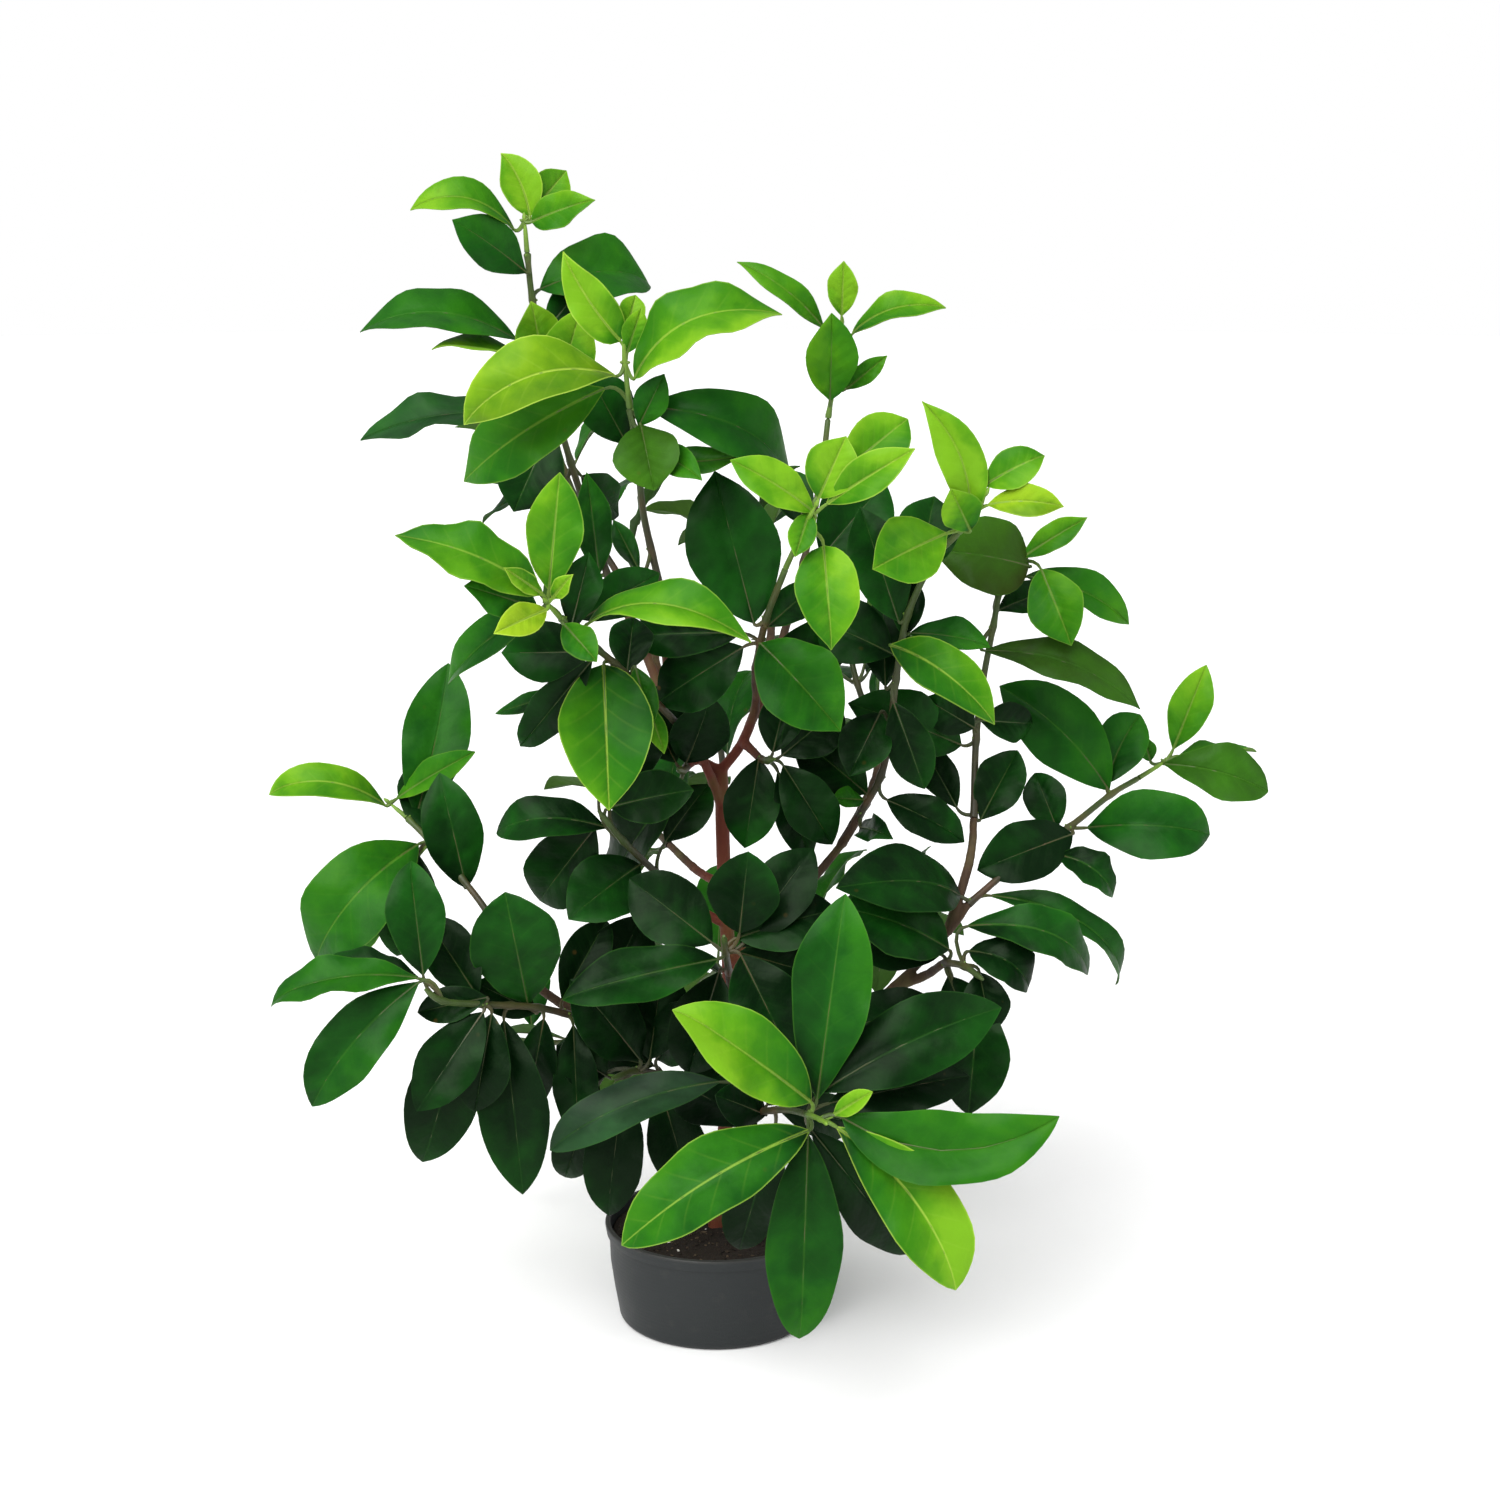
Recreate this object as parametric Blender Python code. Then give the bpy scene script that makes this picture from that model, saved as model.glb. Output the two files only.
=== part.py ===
"""A potted laurustinus: a young evergreen shrub in a low round nursery pot.

The pot is turned, the potting mix fills it, and the trunk stands in a plain hole in the mix.
The woody branches are fused to the trunk. Each leafy shoot is a stem with its leaves fused to it,
and the pale young growth at its end is a solid of its own that meets the stem face to face.

Places are in centimetres as they are seen from EYE: x to the right and z upwards on the upright
plane through the pot's axis, then a distance in front of that plane along the line of sight.
"""

import math
import random

import bmesh
import bpy
from mathutils import Matrix, Vector
from mathutils.bvhtree import BVHTree

CM = 0.01
MM = 0.001
EYE = Vector((0.020, -1.505, 0.670))
UP = Vector((0, 0, 1))

# Pot, in metres
RIM_RADIUS = 0.065
BASE_RADIUS = 0.057
POT_HEIGHT = 0.058
WALL = 1.6 * MM
LIP_HEIGHT = 7 * MM
LIP_PROUD = 1.6 * MM
BASE_ROUND = 4 * MM
DRAIN_RADIUS = 4 * MM
DRAIN_RING = 0.040
DRAIN_COUNT = 5
DRAIN_TURN = 0.28
POT_SIDES = 28

# Potting mix
SOIL_TOP = 0.0515
SOIL_MOUND = 2.2 * MM
SOIL_RINGS = 4
SOIL_SIDES = 20
GAP = 0.3 * MM
SQUARE_END = 1.5 * MM

# Trunk
TRUNK_FOOT = 0.020
TRUNK_LINE = [
    (0, 3.6, 0), (0, 5.8, 0), (0.2, 8.6, 0), (0.6, 12, 0.3), (0.85, 19, 0.3), (0.55, 26, 0), (0.35, 32.7, 0),
]
TRUNK_RADII = (4.6 * MM, 4.0 * MM)
TRUNK_SIDES = 8
BRANCH_SIDES = 4
STEM_SIDES = 5
STEM_STEP = 0.025

# Leaves
BLADE_ROWS = (0.0, 0.32, 0.76, 1.0)
SHORT_ROWS = (0.0, 0.5, 1.0)
SHORT_BLADE = 0.064
BELLY = 1.08
FULLNESS = 1.07
TIP_HALF = 0.5 * MM
PETIOLE_HALF = 1.1 * MM
OLD_THICKNESS = 0.85 * MM
YOUNG_THICKNESS = 0.65 * MM
FOLD = 0.16
BASE_REACH = 0.12
CLEARANCE = 0.45 * MM
MOST_BEND = 7
TURNS = (-0.35, 0.35, -0.7, 0.7)
TURN_COST = 3
OTHER_NODE_COST = 100
JOINT_ROWS = 2
ROOT_DEPTH = 0.9 * MM

# Woody branches: what each one leaves, and its way up to the foot of its shoot
BRANCHES = {
    "crown_mid": ("trunk", [(0.45, 32.2, 0), (-0.9, 33.4, 0.4), (-2.3, 35.0, 1.0), (-2.7, 39.6, 2.6)]),
    "centre_right": ("trunk", [(0.45, 32.2, 0), (1.6, 34.4, 0.8), (2.3, 36.4, 2.4)]),
    "rosette_left": ("trunk", [(0.35, 31.2, 0), (-0.5, 33.0, 1.2)]),
    "rise_right": ("trunk", [(0.8, 21.5, 0), (2.9, 23.6, 1.2), (5.0, 25.7, 2), (7.2, 28.4, 2)]),
    "far_right": ("trunk", [(0.75, 13.5, 0.3), (5.6, 16.3, 2.4), (10.2, 19.9, 4), (13.3, 23.2, 4.6)]),
    "low_left": ("trunk", [(0.85, 16.0, 0.3), (-2.4, 16.8, 1.2), (-5.2, 17.4, 2.0)]),
    "front_low": ("trunk", [(0.3, 9.0, 0.2), (1.4, 10.8, 4.5)]),
    "inner_left": ("trunk", [(0.8, 23.6, 0), (-1.5, 24.9, 1.4)]),
    "inner_low": ("trunk", [(0.75, 13.0, 0.3), (-1.6, 14.0, 1.6)]),
    "heart": ("trunk", [(0.9, 18.2, 0.3), (0.9, 19.4, 2.2)]),
    "fork_left": ("crown_mid", [(-0.9, 33.4, 0.4), (-1.3, 33.2, 1.6)]),
    "fork_right": ("centre_right", [(1.6, 34.4, 0.8), (2.2, 33.8, 2.0)]),
    "crown_left": ("crown_mid", [(-2.3, 35.0, 1.0), (-3.9, 39.6, -1.5)]),
    "summit_right": ("centre_right", [(1.6, 34.4, 0.8), (2.9, 37.6, -0.4), (3.6, 39.6, -1.8)]),
    "column_right": ("far_right", [(13.3, 23.2, 4.6), (14.5, 27.4, 4.2)]),
    "low_right": ("far_right", [(10.2, 19.9, 4), (12.0, 20.6, 5.0)]),
    "reach_left": ("low_left", [(-5.2, 17.4, 2.0), (-8.8, 18.9, 1.6), (-11.2, 21.0, 1.6)]),
    "back_crown": ("crown_left", [(-3.1, 37.3, -0.25), (-3.6, 40.6, -5)]),
    "back_top": ("summit_right", [(3.0, 38.0, -0.8), (3.2, 41.5, -7)]),
    "back_right": ("rise_right", [(7.2, 28.4, 2), (8.4, 30.6, -1), (9.2, 32.8, -5)]),
    "back_centre": ("trunk", [(0.5, 30.4, 0), (0.55, 31.4, -2.8)]),
    "back_left": ("trunk", [(0.7, 25.6, 0), (-0.9, 26.8, -2.8)]),
    "back_low": ("trunk", [(0.85, 17.0, 0.3), (1.1, 17.7, -2.8)]),
    "back_side": ("trunk", [(0.85, 20.2, 0.3), (2.6, 21.6, -2)]),
    "back_low_left": ("trunk", [(0.8, 14.8, 0.3), (-0.9, 15.5, -2)]),
}
BRANCH_RADII = (3.0 * MM, 2.2 * MM)
SHOOT_RADII = (2.1 * MM, 1.7 * MM)
TIP_RADII = (1.6 * MM, 1.1 * MM)

# Shoots. stem: seen points with their distance in front. tip_at: the stem point where young growth starts.
# A leaf row: base x, z, tip x, z, width, how far the tip reaches forward of the base,
# how much its face turns from the eye to the sky, how high it arches, how young it is, and extras.
SHOOTS = {
    "crown_left": {
        "stem": [(-5.9, 43.8, -2), (-7.3, 48.2, -2), (-8.4, 52, -1.5), (-9.2, 55.5, -1), (-9.85, 59, -0.5),
                 (-10.1, 61.6, 0), (-10.2, 63.2, 0)],
        "tip_at": 5,
        "old": [
            (-10.2, 60.5, -14.1, 63.3, 2.7, 2.0, 0.35, 0.05, 0.20),
            (-9.4, 59.6, -3.2, 59.9, 4.2, -3.0, 0.42, 0.20, 0.25),
            (-10.8, 56.9, -19.4, 57.4, 3.4, 1.0, 0.54, 0.19, 0.20),
            (-10.4, 55.9, -15.4, 56.6, 2.0, 2.4, 0.70, 0.04, 0.85),
            (-10.4, 52.8, -19.5, 51.4, 2.6, -2.0, 0.55, 0.09, 0.08),
            (-9.0, 51.8, -11.1, 47.4, 3.7, 1.0, 0.25, 0.06, 0.12),
            (-8.6, 49.0, -12.9, 46.9, 1.8, -3.0, 0.60, 0.05, 0.06),
            (-7.3, 49.4, -5.3, 47.2, 2.4, -3.0, 0.30, 0.05, 0.02),
            (-6.4, 44.0, -7.0, 49.6, 2.0, 1.5, 0.05, 0.05, 0.22),
            (-9.3, 55.6, -9.9, 58.9, 2.4, 2.6, 0.10, 0.04, 0.80),
            (-8.5, 54.2, -7.2, 58.6, 2.8, 3.2, 0.10, 0.05, 0.74),
            (-9.1, 57.4, -6.4, 60.4, 2.0, -2.0, 0.30, 0.05, 0.15),
        ],
        "young": [
            (-10.8, 62.8, -16.5, 63.9, 2.3, 1.0, 0.55, 0.26, 0.72),
            (-9.9, 63.5, -11.4, 66.9, 2.1, -0.5, 0.0, 0.03, 0.86, {"belly": 0.9, "bow": 0.07}),
            (-9.9, 63.6, -7.9, 65.9, 2.1, -1.2, 0.05, 0.03, 0.70),
            (-9.8, 63.2, -6.4, 64.4, 1.9, 1.5, 0.25, 0.06, 0.66, {"belly": 0.85}),
        ],
    },
    "crown_mid": {
        "stem": [(-3.0, 43.2, 4.5), (-3.9, 47.3, 6), (-4.2, 50.5, 7.4), (-4.6, 53.2, 8.4), (-4.85, 55.6, 9),
                 (-4.9, 57.0, 9.2)],
        "tip_at": 3,
        "old": [
            (-3.5, 53.2, 4.3, 49.0, 4.0, -3.0, 0.38, 0.28, 0.12),
            (-3.5, 50.2, 1.5, 50.5, 1.6, 1.0, 0.40, -0.05, 0.44),
            (-4.2, 44.2, -5.6, 47.0, 1.2, -1.6, 0.10, 0.04, 0.14),
            (-3.4, 50.9, -0.7, 49.3, 1.7, 4.0, 0.20, 0.06, 0.45),
            (-4.8, 51.2, -6.9, 55.1, 3.0, -1.5, 0.05, 0.05, 0.18),
            (-4.1, 52.2, -2.7, 55.0, 1.8, 1.0, 0.05, 0.03, 0.34),
            (-4.0, 52.2, -3.3, 48.6, 3.5, 2.4, 0.10, 0.10, 0.40, {"belly": 1.2}),
        ],
        "young": [
            (-5.1, 56.8, -8.2, 61.6, 2.3, 0.5, 0.05, 0.04, 0.92, {"belly": 0.72, "bow": -0.04}),
            (-4.7, 57.5, -4.2, 59.3, 1.4, -0.6, 0.0, 0.03, 0.80),
            (-4.3, 54.8, 3.8, 58.3, 3.7, 1.0, 0.42, 0.33, 0.74),
            (-4.7, 56.2, -3.9, 58.6, 1.3, 0.4, 0.05, 0.03, 0.66),
            (-5.4, 54.9, -14.0, 52.2, 3.9, 2.0, 0.45, 0.26, 0.66),
            (-6.0, 54.2, -13.8, 49.1, 3.8, -1.6, 0.20, 0.22, 0.56),
        ],
    },
    "summit_right": {
        "stem": [(4.5, 42.6, -4), (5.4, 46.5, -5), (6.0, 50, -5.5), (6.3, 52.6, -6), (6.75, 55.5, -6.2),
                 (7.0, 57.6, -6.3)],
        "tip_at": 3,
        "old": [
            (6.0, 44.9, 9.5, 49.1, 4.0, -2.0, 0.10, 0.06, 0.10),
            (5.2, 46.6, 3.6, 49.9, 2.2, -2.6, 0.20, 0.06, 0.10),
        ],
        "young": [
            (6.0, 57.5, 1.3, 61.1, 1.5, 0.6, 0.35, 0.16, 0.58),
            (7.0, 58.2, 7.1, 61.1, 1.6, 0.4, 0.0, 0.03, 0.90),
            (7.6, 57.2, 12.7, 58.6, 1.7, 0.8, 0.45, 0.22, 0.64),
            (6.4, 53.6, 6.5, 58.3, 2.7, 1.6, 0.0, 0.06, 0.42),
            (7.3, 54.2, 9.5, 56.0, 1.1, 0.8, 0.05, 0.03, 0.60),
        ],
    },
    "centre_right": {
        "stem": [(2.3, 38.6, 5), (2.9, 41.4, 7.5), (4.0, 44.3, 10), (5.0, 46.5, 12), (5.6, 47.7, 12.8)],
        "tip_at": 2,
        "old": [
            (2.2, 41.2, 0.0, 49.7, 4.9, -0.8, 0.05, 0.06, 0.08),
            (2.6, 40.0, 7.1, 35.0, 4.4, 3.0, 0.20, 0.10, 0.36),
            (3.2, 39.2, 7.6, 39.8, 3.0, -1.4, 0.20, 0.05, 0.08),
            (3.0, 41.0, 5.5, 43.2, 2.0, -2.6, 0.10, 0.05, 0.08),
            (1.6, 39.8, -3.3, 36.6, 3.6, -1.0, 0.15, 0.05, 0.0),
            (1.4, 40.6, -4.9, 40.4, 2.8, -2.6, 0.20, 0.06, 0.02),
        ],
        "young": [
            (6.3, 47.9, 11.1, 50.9, 2.2, 1.0, 0.15, 0.08, 0.86),
            (6.8, 49.4, 10.7, 52.6, 3.0, -1.8, 0.05, 0.05, 0.68, {"belly": 1.3}),
            (5.5, 47.4, 0.9, 50.3, 2.3, 0.6, 0.30, 0.10, 0.82),
            (5.3, 47.4, 4.5, 44.9, 1.5, 1.4, 0.15, 0.05, 0.66),
            (6.1, 45.5, 6.6, 39.6, 3.4, 2.0, 0.0, 0.08, 0.74, {"belly": 0.85}),
            (5.8, 48.2, 7.3, 51.6, 2.9, 0.4, 0.0, 0.05, 0.92),
        ],
    },
    "rosette_left": {
        "stem": [(-1.9, 35.2, 4), (-3.8, 37.2, 7), (-5.6, 38.9, 10), (-7.4, 40.4, 13), (-8.6, 41.5, 14.8),
                 (-9.3, 42.3, 15.8)],
        "tip_at": 4,
        "old": [
            (-6.2, 38.8, -6.0, 30.4, 4.9, 3.0, 0.05, 0.08, 0.56, {"belly": 0.85}),
            (-3.8, 36.6, -2.8, 33.7, 1.1, 1.0, 0.10, 0.04, 0.70),
            (-4.4, 38.6, -3.6, 35.2, 1.6, 2.0, 0.10, 0.04, 0.42),
            (-6.9, 39.0, -11.1, 33.9, 2.3, -2.4, 0.10, 0.04, 0.04),
            (-6.6, 39.6, -12.0, 39.5, 3.3, -2.0, 0.20, -0.03, 0.06),
            (-7.6, 37.3, -12.3, 36.0, 1.1, -3.6, 0.30, 0.04, 0.16),
            (-8.4, 41.1, -6.6, 39.0, 1.8, 2.0, 0.20, 0.04, 0.46),
            (-7.0, 41.2, 2.1, 40.1, 2.8, 3.0, 0.50, 0.24, 0.74),
            (-7.4, 41.4, -3.0, 44.0, 2.5, -2.6, 0.15, 0.05, 0.06),
            (-4.9, 38.4, -4.5, 41.5, 2.4, -2.8, 0.10, 0.05, 0.03),
            (-8.0, 40.9, -6.9, 45.2, 2.2, -1.6, 0.05, 0.04, 0.12),
            (-9.7, 42.0, -15.0, 37.7, 2.7, -3.0, 0.25, 0.10, 0.36),
        ],
        "young": [
            (-9.7, 42.8, -17.7, 46.1, 3.3, 1.0, 0.34, 0.18, 0.62),
            (-9.2, 43.1, -8.5, 49.6, 3.0, 0.0, 0.0, 0.04, 0.70),
            (-9.9, 42.0, -13.9, 43.3, 2.5, 2.4, 0.20, 0.03, 0.40),
            (-9.6, 42.8, -11.7, 44.3, 1.1, 2.4, 0.15, 0.03, 0.84),
            (-9.4, 41.9, -12.3, 40.6, 1.8, 2.8, 0.10, 0.05, 1.0),
            (-9.0, 42.6, -7.9, 43.9, 1.0, 1.4, 0.10, 0.03, 0.95),
        ],
    },
    "rise_right": {
        "stem": [(8.2, 30.1, 2.6), (9.4, 32.4, 3.4), (9.9, 35, 4.2), (10.2, 38, 5), (10.8, 41.6, 6),
                 (12.2, 44.7, 7.4), (13.6, 46.3, 8.4), (14.6, 47.5, 9), (15.0, 48.3, 9.2)],
        "tip_at": 6,
        "old": [
            (9.8, 31.0, 14.3, 28.6, 2.4, 1.0, 0.20, 0.12, 0.03),
            (8.3, 29.4, 9.9, 28.9, 1.5, 2.0, 0.10, 0.05, 0.03),
            (8.6, 31.4, 4.5, 34.8, 3.2, -1.5, 0.15, 0.06, 0.04),
            (8.4, 31.0, 6.7, 31.1, 1.3, 1.0, 0.40, 0.03, 0.45),
            (9.3, 36.0, 7.6, 32.4, 2.8, 2.4, 0.10, 0.06, 0.05),
            (10.1, 36.6, 11.9, 31.6, 2.5, 0.6, 0.10, 0.05, 0.03),
            (10.6, 40.4, 11.0, 43.8, 1.8, -1.0, 0.05, 0.05, 0.10),
            (9.9, 39.9, 15.9, 35.4, 3.0, 3.2, 0.35, 0.21, 0.60),
            (11.0, 40.6, 15.5, 39.9, 2.3, 1.5, 0.50, 0.06, 0.30),
            (10.3, 41.3, 8.1, 47.7, 3.2, -1.5, 0.05, 0.05, 0.12),
            (11.4, 43.9, 12.2, 48.3, 3.4, -2.5, 0.10, 0.05, 0.18),
            (10.0, 39.4, 5.6, 41.4, 3.6, -2.0, 0.25, 0.06, 0.08),
            (9.6, 37.6, 9.4, 42.6, 2.8, -3.4, 0.10, 0.05, 0.05),
        ],
        "young": [
            (14.2, 47.4, 11.4, 53.5, 2.4, 0.0, 0.05, 0.04, 0.86, {"belly": 0.85, "bow": 0.11}),
            (15.0, 48.9, 18.3, 50.6, 2.2, 0.5, 0.20, 0.14, 0.66),
            (15.2, 47.8, 19.4, 47.7, 1.8, 1.2, 0.30, 0.16, 0.92),
            (12.9, 46.2, 8.8, 44.2, 3.7, 2.4, 0.15, 0.06, 0.80, {"belly": 1.35}),
            (14.2, 46.4, 13.1, 48.7, 2.2, 1.6, 0.10, 0.03, 0.74),
        ],
    },
    "column_right": {
        "stem": [(14.7, 30, 2.6), (14.75, 34.5, 1), (15.1, 38, 0), (15.6, 41, 0), (15.9, 43, 0),
                 (16.4, 44.5, 0)],
        "tip_at": 4,
        "old": [
            (15.2, 39.6, 24.0, 36.3, 2.7, 1.0, 0.46, 0.18, 0.22),
            (14.6, 35.2, 11.8, 36.9, 2.4, 0.6, 0.05, 0.05, 0.04),
            (15.0, 35.6, 18.0, 35.4, 2.2, -2.0, 0.10, 0.05, 0.08),
            (13.9, 34.2, 7.5, 36.6, 3.4, 1.6, 0.20, 0.06, 0.14),
            (15.9, 41.9, 18.9, 43.0, 2.0, -3.0, 0.30, 0.06, 0.08),
            (13.7, 30.6, 11.7, 34.2, 2.0, -2.0, 0.20, 0.05, 0.03),
            (15.1, 29.9, 17.1, 33.9, 2.7, 0.6, 0.05, 0.05, 0.03),
        ],
        "young": [
            (17.2, 44.9, 20.7, 47.1, 1.5, 0.4, 0.25, 0.05, 0.60),
            (18.2, 44.2, 20.0, 39.9, 3.0, 2.4, 0.12, 0.10, 0.60),
            (17.4, 43.8, 23.2, 41.1, 2.4, -1.2, 0.45, 0.14, 0.40),
            (17.5, 44.4, 12.1, 45.3, 4.2, 1.2, 0.22, 0.10, 0.26, {"belly": 0.8}),
            (16.4, 45.0, 16.7, 46.6, 1.1, -1.6, 0.0, 0.03, 0.26),
        ],
    },
    "far_right": {
        "stem": [(14.5, 24.9, 4.4), (17.2, 27.3, 3), (20.1, 29.4, 1), (22.4, 31.3, -1), (24.0, 32.3, -2.4),
                 (25.4, 33.2, -3.4)],
        "tip_at": 4,
        "old": [
            (21.2, 29.4, 28.4, 29.0, 3.8, 1.0, 0.20, 0.20, 0.16),
            (22.3, 31.6, 16.0, 37.6, 3.9, -1.5, 0.10, 0.08, 0.20, {"bow": 0.06}),
            (22.2, 32.0, 24.0, 36.0, 2.8, -2.4, 0.10, 0.05, 0.24, {"bow": -0.05}),
            (19.4, 29.4, 18.1, 32.6, 2.3, -1.4, 0.10, 0.08, 0.04),
            (20.3, 29.0, 15.0, 26.9, 3.3, 2.6, 0.10, 0.05, 0.0),
            (19.5, 27.8, 22.9, 25.3, 2.2, 1.0, 0.45, 0.28, 0.08),
            (14.0, 25.4, 6.9, 25.8, 4.2, 2.0, 0.34, 0.15, 0.06),
            (15.8, 25.4, 23.6, 20.1, 2.0, -0.6, 0.45, 0.30, 0.20),
        ],
        "young": [
            (25.9, 34.0, 27.6, 38.8, 2.2, 0.0, 0.0, 0.03, 0.72),
            (26.3, 33.6, 30.6, 33.9, 1.8, -1.6, 0.90, 0.02, 0.56),
            (25.4, 33.1, 31.4, 31.5, 3.1, 1.0, 0.28, 0.18, 0.36, {"belly": 1.3}),
            (24.6, 33.3, 24.2, 34.7, 1.0, 0.6, 0.10, 0.03, 0.42),
        ],
    },
    "low_right": {
        "stem": [(13.2, 21.4, 8), (14.3, 21.2, 10), (15.4, 20.4, 11.6)],
        "old": [
            (14.5, 23.6, 21.6, 20.7, 3.0, -1.0, 0.42, 0.32, 0.14),
            (14.6, 22.1, 18.2, 19.8, 2.8, 0.6, 0.42, 0.34, 0.06),
            (15.2, 20.8, 15.9, 17.2, 2.6, 1.0, 0.10, 0.08, 0.05),
            (13.4, 20.6, 14.9, 16.9, 2.8, -3.0, 0.10, 0.05, 0.08),
            (13.4, 22.2, 7.0, 24.7, 4.8, 1.0, 0.20, 0.10, 0.12),
            (12.9, 21.9, 7.2, 22.9, 2.9, -1.0, 0.20, 0.05, 0.0),
            (12.9, 19.0, 7.4, 17.4, 3.0, -1.4, 0.15, 0.05, 0.0),
            (15.2, 19.5, 14.7, 12.2, 3.9, 1.4, 0.05, 0.06, 0.05),
        ],
    },
    "reach_left": {
        "stem": [(-12.3, 23, 0.8), (-13.2, 24.7, 0.4), (-14.5, 26.5, -0.6), (-16.2, 28.6, -2),
                 (-17.5, 30.0, -3), (-18.4, 30.8, -3.6)],
        "tip_at": 4,
        "old": [
            (-16.9, 28.4, -23.1, 21.4, 4.6, 2.4, 0.28, 0.35, 0.44),
            (-16.9, 30.2, -14.9, 38.9, 3.6, -2.4, 0.05, 0.05, 0.26, {"bow": 0.02}),
            (-14.2, 25.9, -15.6, 32.6, 3.2, -0.5, 0.10, 0.06, 0.10),
            (-16.2, 28.7, -16.7, 33.5, 2.8, -2.0, 0.10, 0.05, 0.10),
            (-16.9, 27.8, -18.3, 21.7, 3.4, 1.0, 0.10, 0.06, 0.06),
            (-18.1, 26.3, -21.4, 21.8, 2.3, -2.0, 0.20, 0.08, 0.78),
        ],
        "young": [
            (-18.7, 30.7, -25.5, 31.4, 2.2, 1.0, 0.48, 0.25, 0.74),
            (-18.0, 31.1, -13.5, 33.8, 1.7, 1.6, 0.40, 0.04, 0.60),
        ],
    },
    "low_left": {
        "stem": [(-7.0, 17.9, 4), (-10.2, 18.7, 7), (-13.4, 18.9, 9.6), (-15.7, 19.1, 11.4),
                 (-16.7, 19.8, 12.2)],
        "old": [
            (-17.2, 20.5, -25.9, 19.1, 2.6, 1.0, 0.45, 0.15, 0.36, {"belly": 1.3}),
            (-17.1, 20.5, -22.4, 21.7, 1.8, -1.6, 0.60, 0.07, 0.04),
            (-17.1, 20.2, -23.5, 12.6, 3.5, 1.0, 0.15, 0.12, 0.26, {"bow": 0.05}),
            (-16.8, 20.7, -17.4, 27.5, 3.2, -1.6, 0.05, 0.05, 0.08),
            (-10.8, 18.9, -12.0, 25.5, 4.9, 2.0, 0.05, 0.05, 0.16, {"belly": 1.35}),
            (-13.7, 19.4, -16.6, 24.2, 3.0, -2.4, 0.05, 0.05, 0.0),
            (-13.4, 18.4, -17.4, 12.4, 3.3, 2.4, 0.15, 0.06, 0.02),
            (-12.9, 18.3, -14.0, 12.3, 3.0, 0.8, 0.10, 0.06, 0.0),
            (-14.3, 18.2, -17.1, 9.1, 3.9, 0.4, 0.10, 0.06, 0.0),
            (-12.2, 17.9, -11.3, 7.3, 3.8, 2.4, 0.10, 0.06, 0.02),
            (-8.2, 17.6, -8.0, 10.8, 2.5, 1.0, 0.10, 0.06, 0.04),
            (-9.9, 18.0, -10.9, 12.6, 2.4, -1.8, 0.10, 0.06, 0.0),
            (-6.8, 18.6, -4.2, 24.2, 4.0, -1.5, 0.05, 0.05, 0.0),
            (-8.8, 19.2, -6.2, 24.0, 2.6, -2.5, 0.05, 0.05, 0.0),
            (-13.2, 19.3, -17.2, 18.4, 2.0, 0.2, 0.20, 0.05, 0.0),
            (-10.4, 18.4, -13.8, 20.2, 2.2, 0.6, 0.15, 0.05, 0.0),
        ],
    },
    "front_low": {
        "stem": [(2.6, 12.4, 9.5), (4.2, 12.5, 14.5), (5.4, 12.2, 18.5), (6.1, 11.9, 21), (6.4, 11.7, 22.8)],
        "tip_at": 2,
        "old": [
            (5.9, 13.2, 7.4, 25.5, 4.4, -1.0, 0.0, 0.04, 0.30, {"belly": 1.25}),
            (5.4, 10.9, 5.0, -2.1, 4.2, 1.0, 0.05, 0.05, 0.28),
            (6.2, 13.6, 16.5, 18.7, 4.4, -2.4, 0.15, 0.08, 0.03, {"bow": -0.03}),
            (6.6, 12.9, 14.8, 14.6, 3.2, -3.4, 0.15, 0.05, 0.0),
            (3.7, 12.5, 8.0, 11.7, 2.7, -3.6, 0.10, 0.05, 0.02),
            (2.9, 12.2, 0.0, 13.4, 2.4, 1.6, 0.10, 0.05, 0.0),
            (5.4, 11.2, -5.5, 4.1, 4.4, 2.4, 0.28, 0.18, 0.44),
            (0.2, 14.2, -9.8, 10.0, 3.0, 0.4, 0.40, 0.16, 0.14),
            (5.6, 11.2, 11.3, 3.6, 3.4, -3.4, 0.10, 0.06, 0.0),
            (3.4, 11.2, 1.4, 3.8, 3.4, -2.0, 0.10, 0.06, 0.0),
            (3.0, 12.8, 6.4, 17.2, 3.4, -3.0, 0.10, 0.05, 0.0),
        ],
        "young": [
            (5.5, 13.0, -2.3, 18.8, 4.1, 1.4, 0.20, 0.06, 0.76),
            (7.1, 11.4, 14.3, 1.1, 4.3, 1.4, 0.05, 0.05, 0.78, {"bow": -0.09, "belly": 1.2}),
            (7.4, 12.0, 20.0, 12.1, 4.2, 0.6, 0.10, -0.05, 0.34, {"bow": 0.15, "belly": 0.95}),
            (6.9, 12.2, 9.1, 13.6, 1.2, 1.2, 0.10, 0.03, 0.96),
        ],
    },
    "inner_left": {
        "stem": [(-3.2, 26.6, 4), (-5.2, 28.6, 6), (-6.6, 30.4, 7)],
        "old": [
            (-2.8, 28.6, -0.4, 31.9, 2.6, -2.6, 0.20, 0.05, 0.03),
            (-4.3, 27.2, -8.4, 24.0, 3.8, 4.0, 0.15, 0.08, 0.12),
            (-6.2, 29.4, -12.6, 29.1, 2.7, -1.0, 0.42, 0.20, 0.04),
            (-6.8, 29.4, -10.2, 24.9, 3.9, -2.4, 0.10, 0.05, 0.08),
            (-5.9, 30.6, -1.2, 31.6, 2.9, 1.6, 0.20, 0.06, 0.10),
            (-6.6, 31.2, -6.4, 36.2, 3.2, -2.0, 0.10, 0.05, 0.0),
            (-5.8, 31.2, -3.6, 36.8, 3.4, -3.4, 0.10, 0.05, 0.0),
        ],
    },
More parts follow.
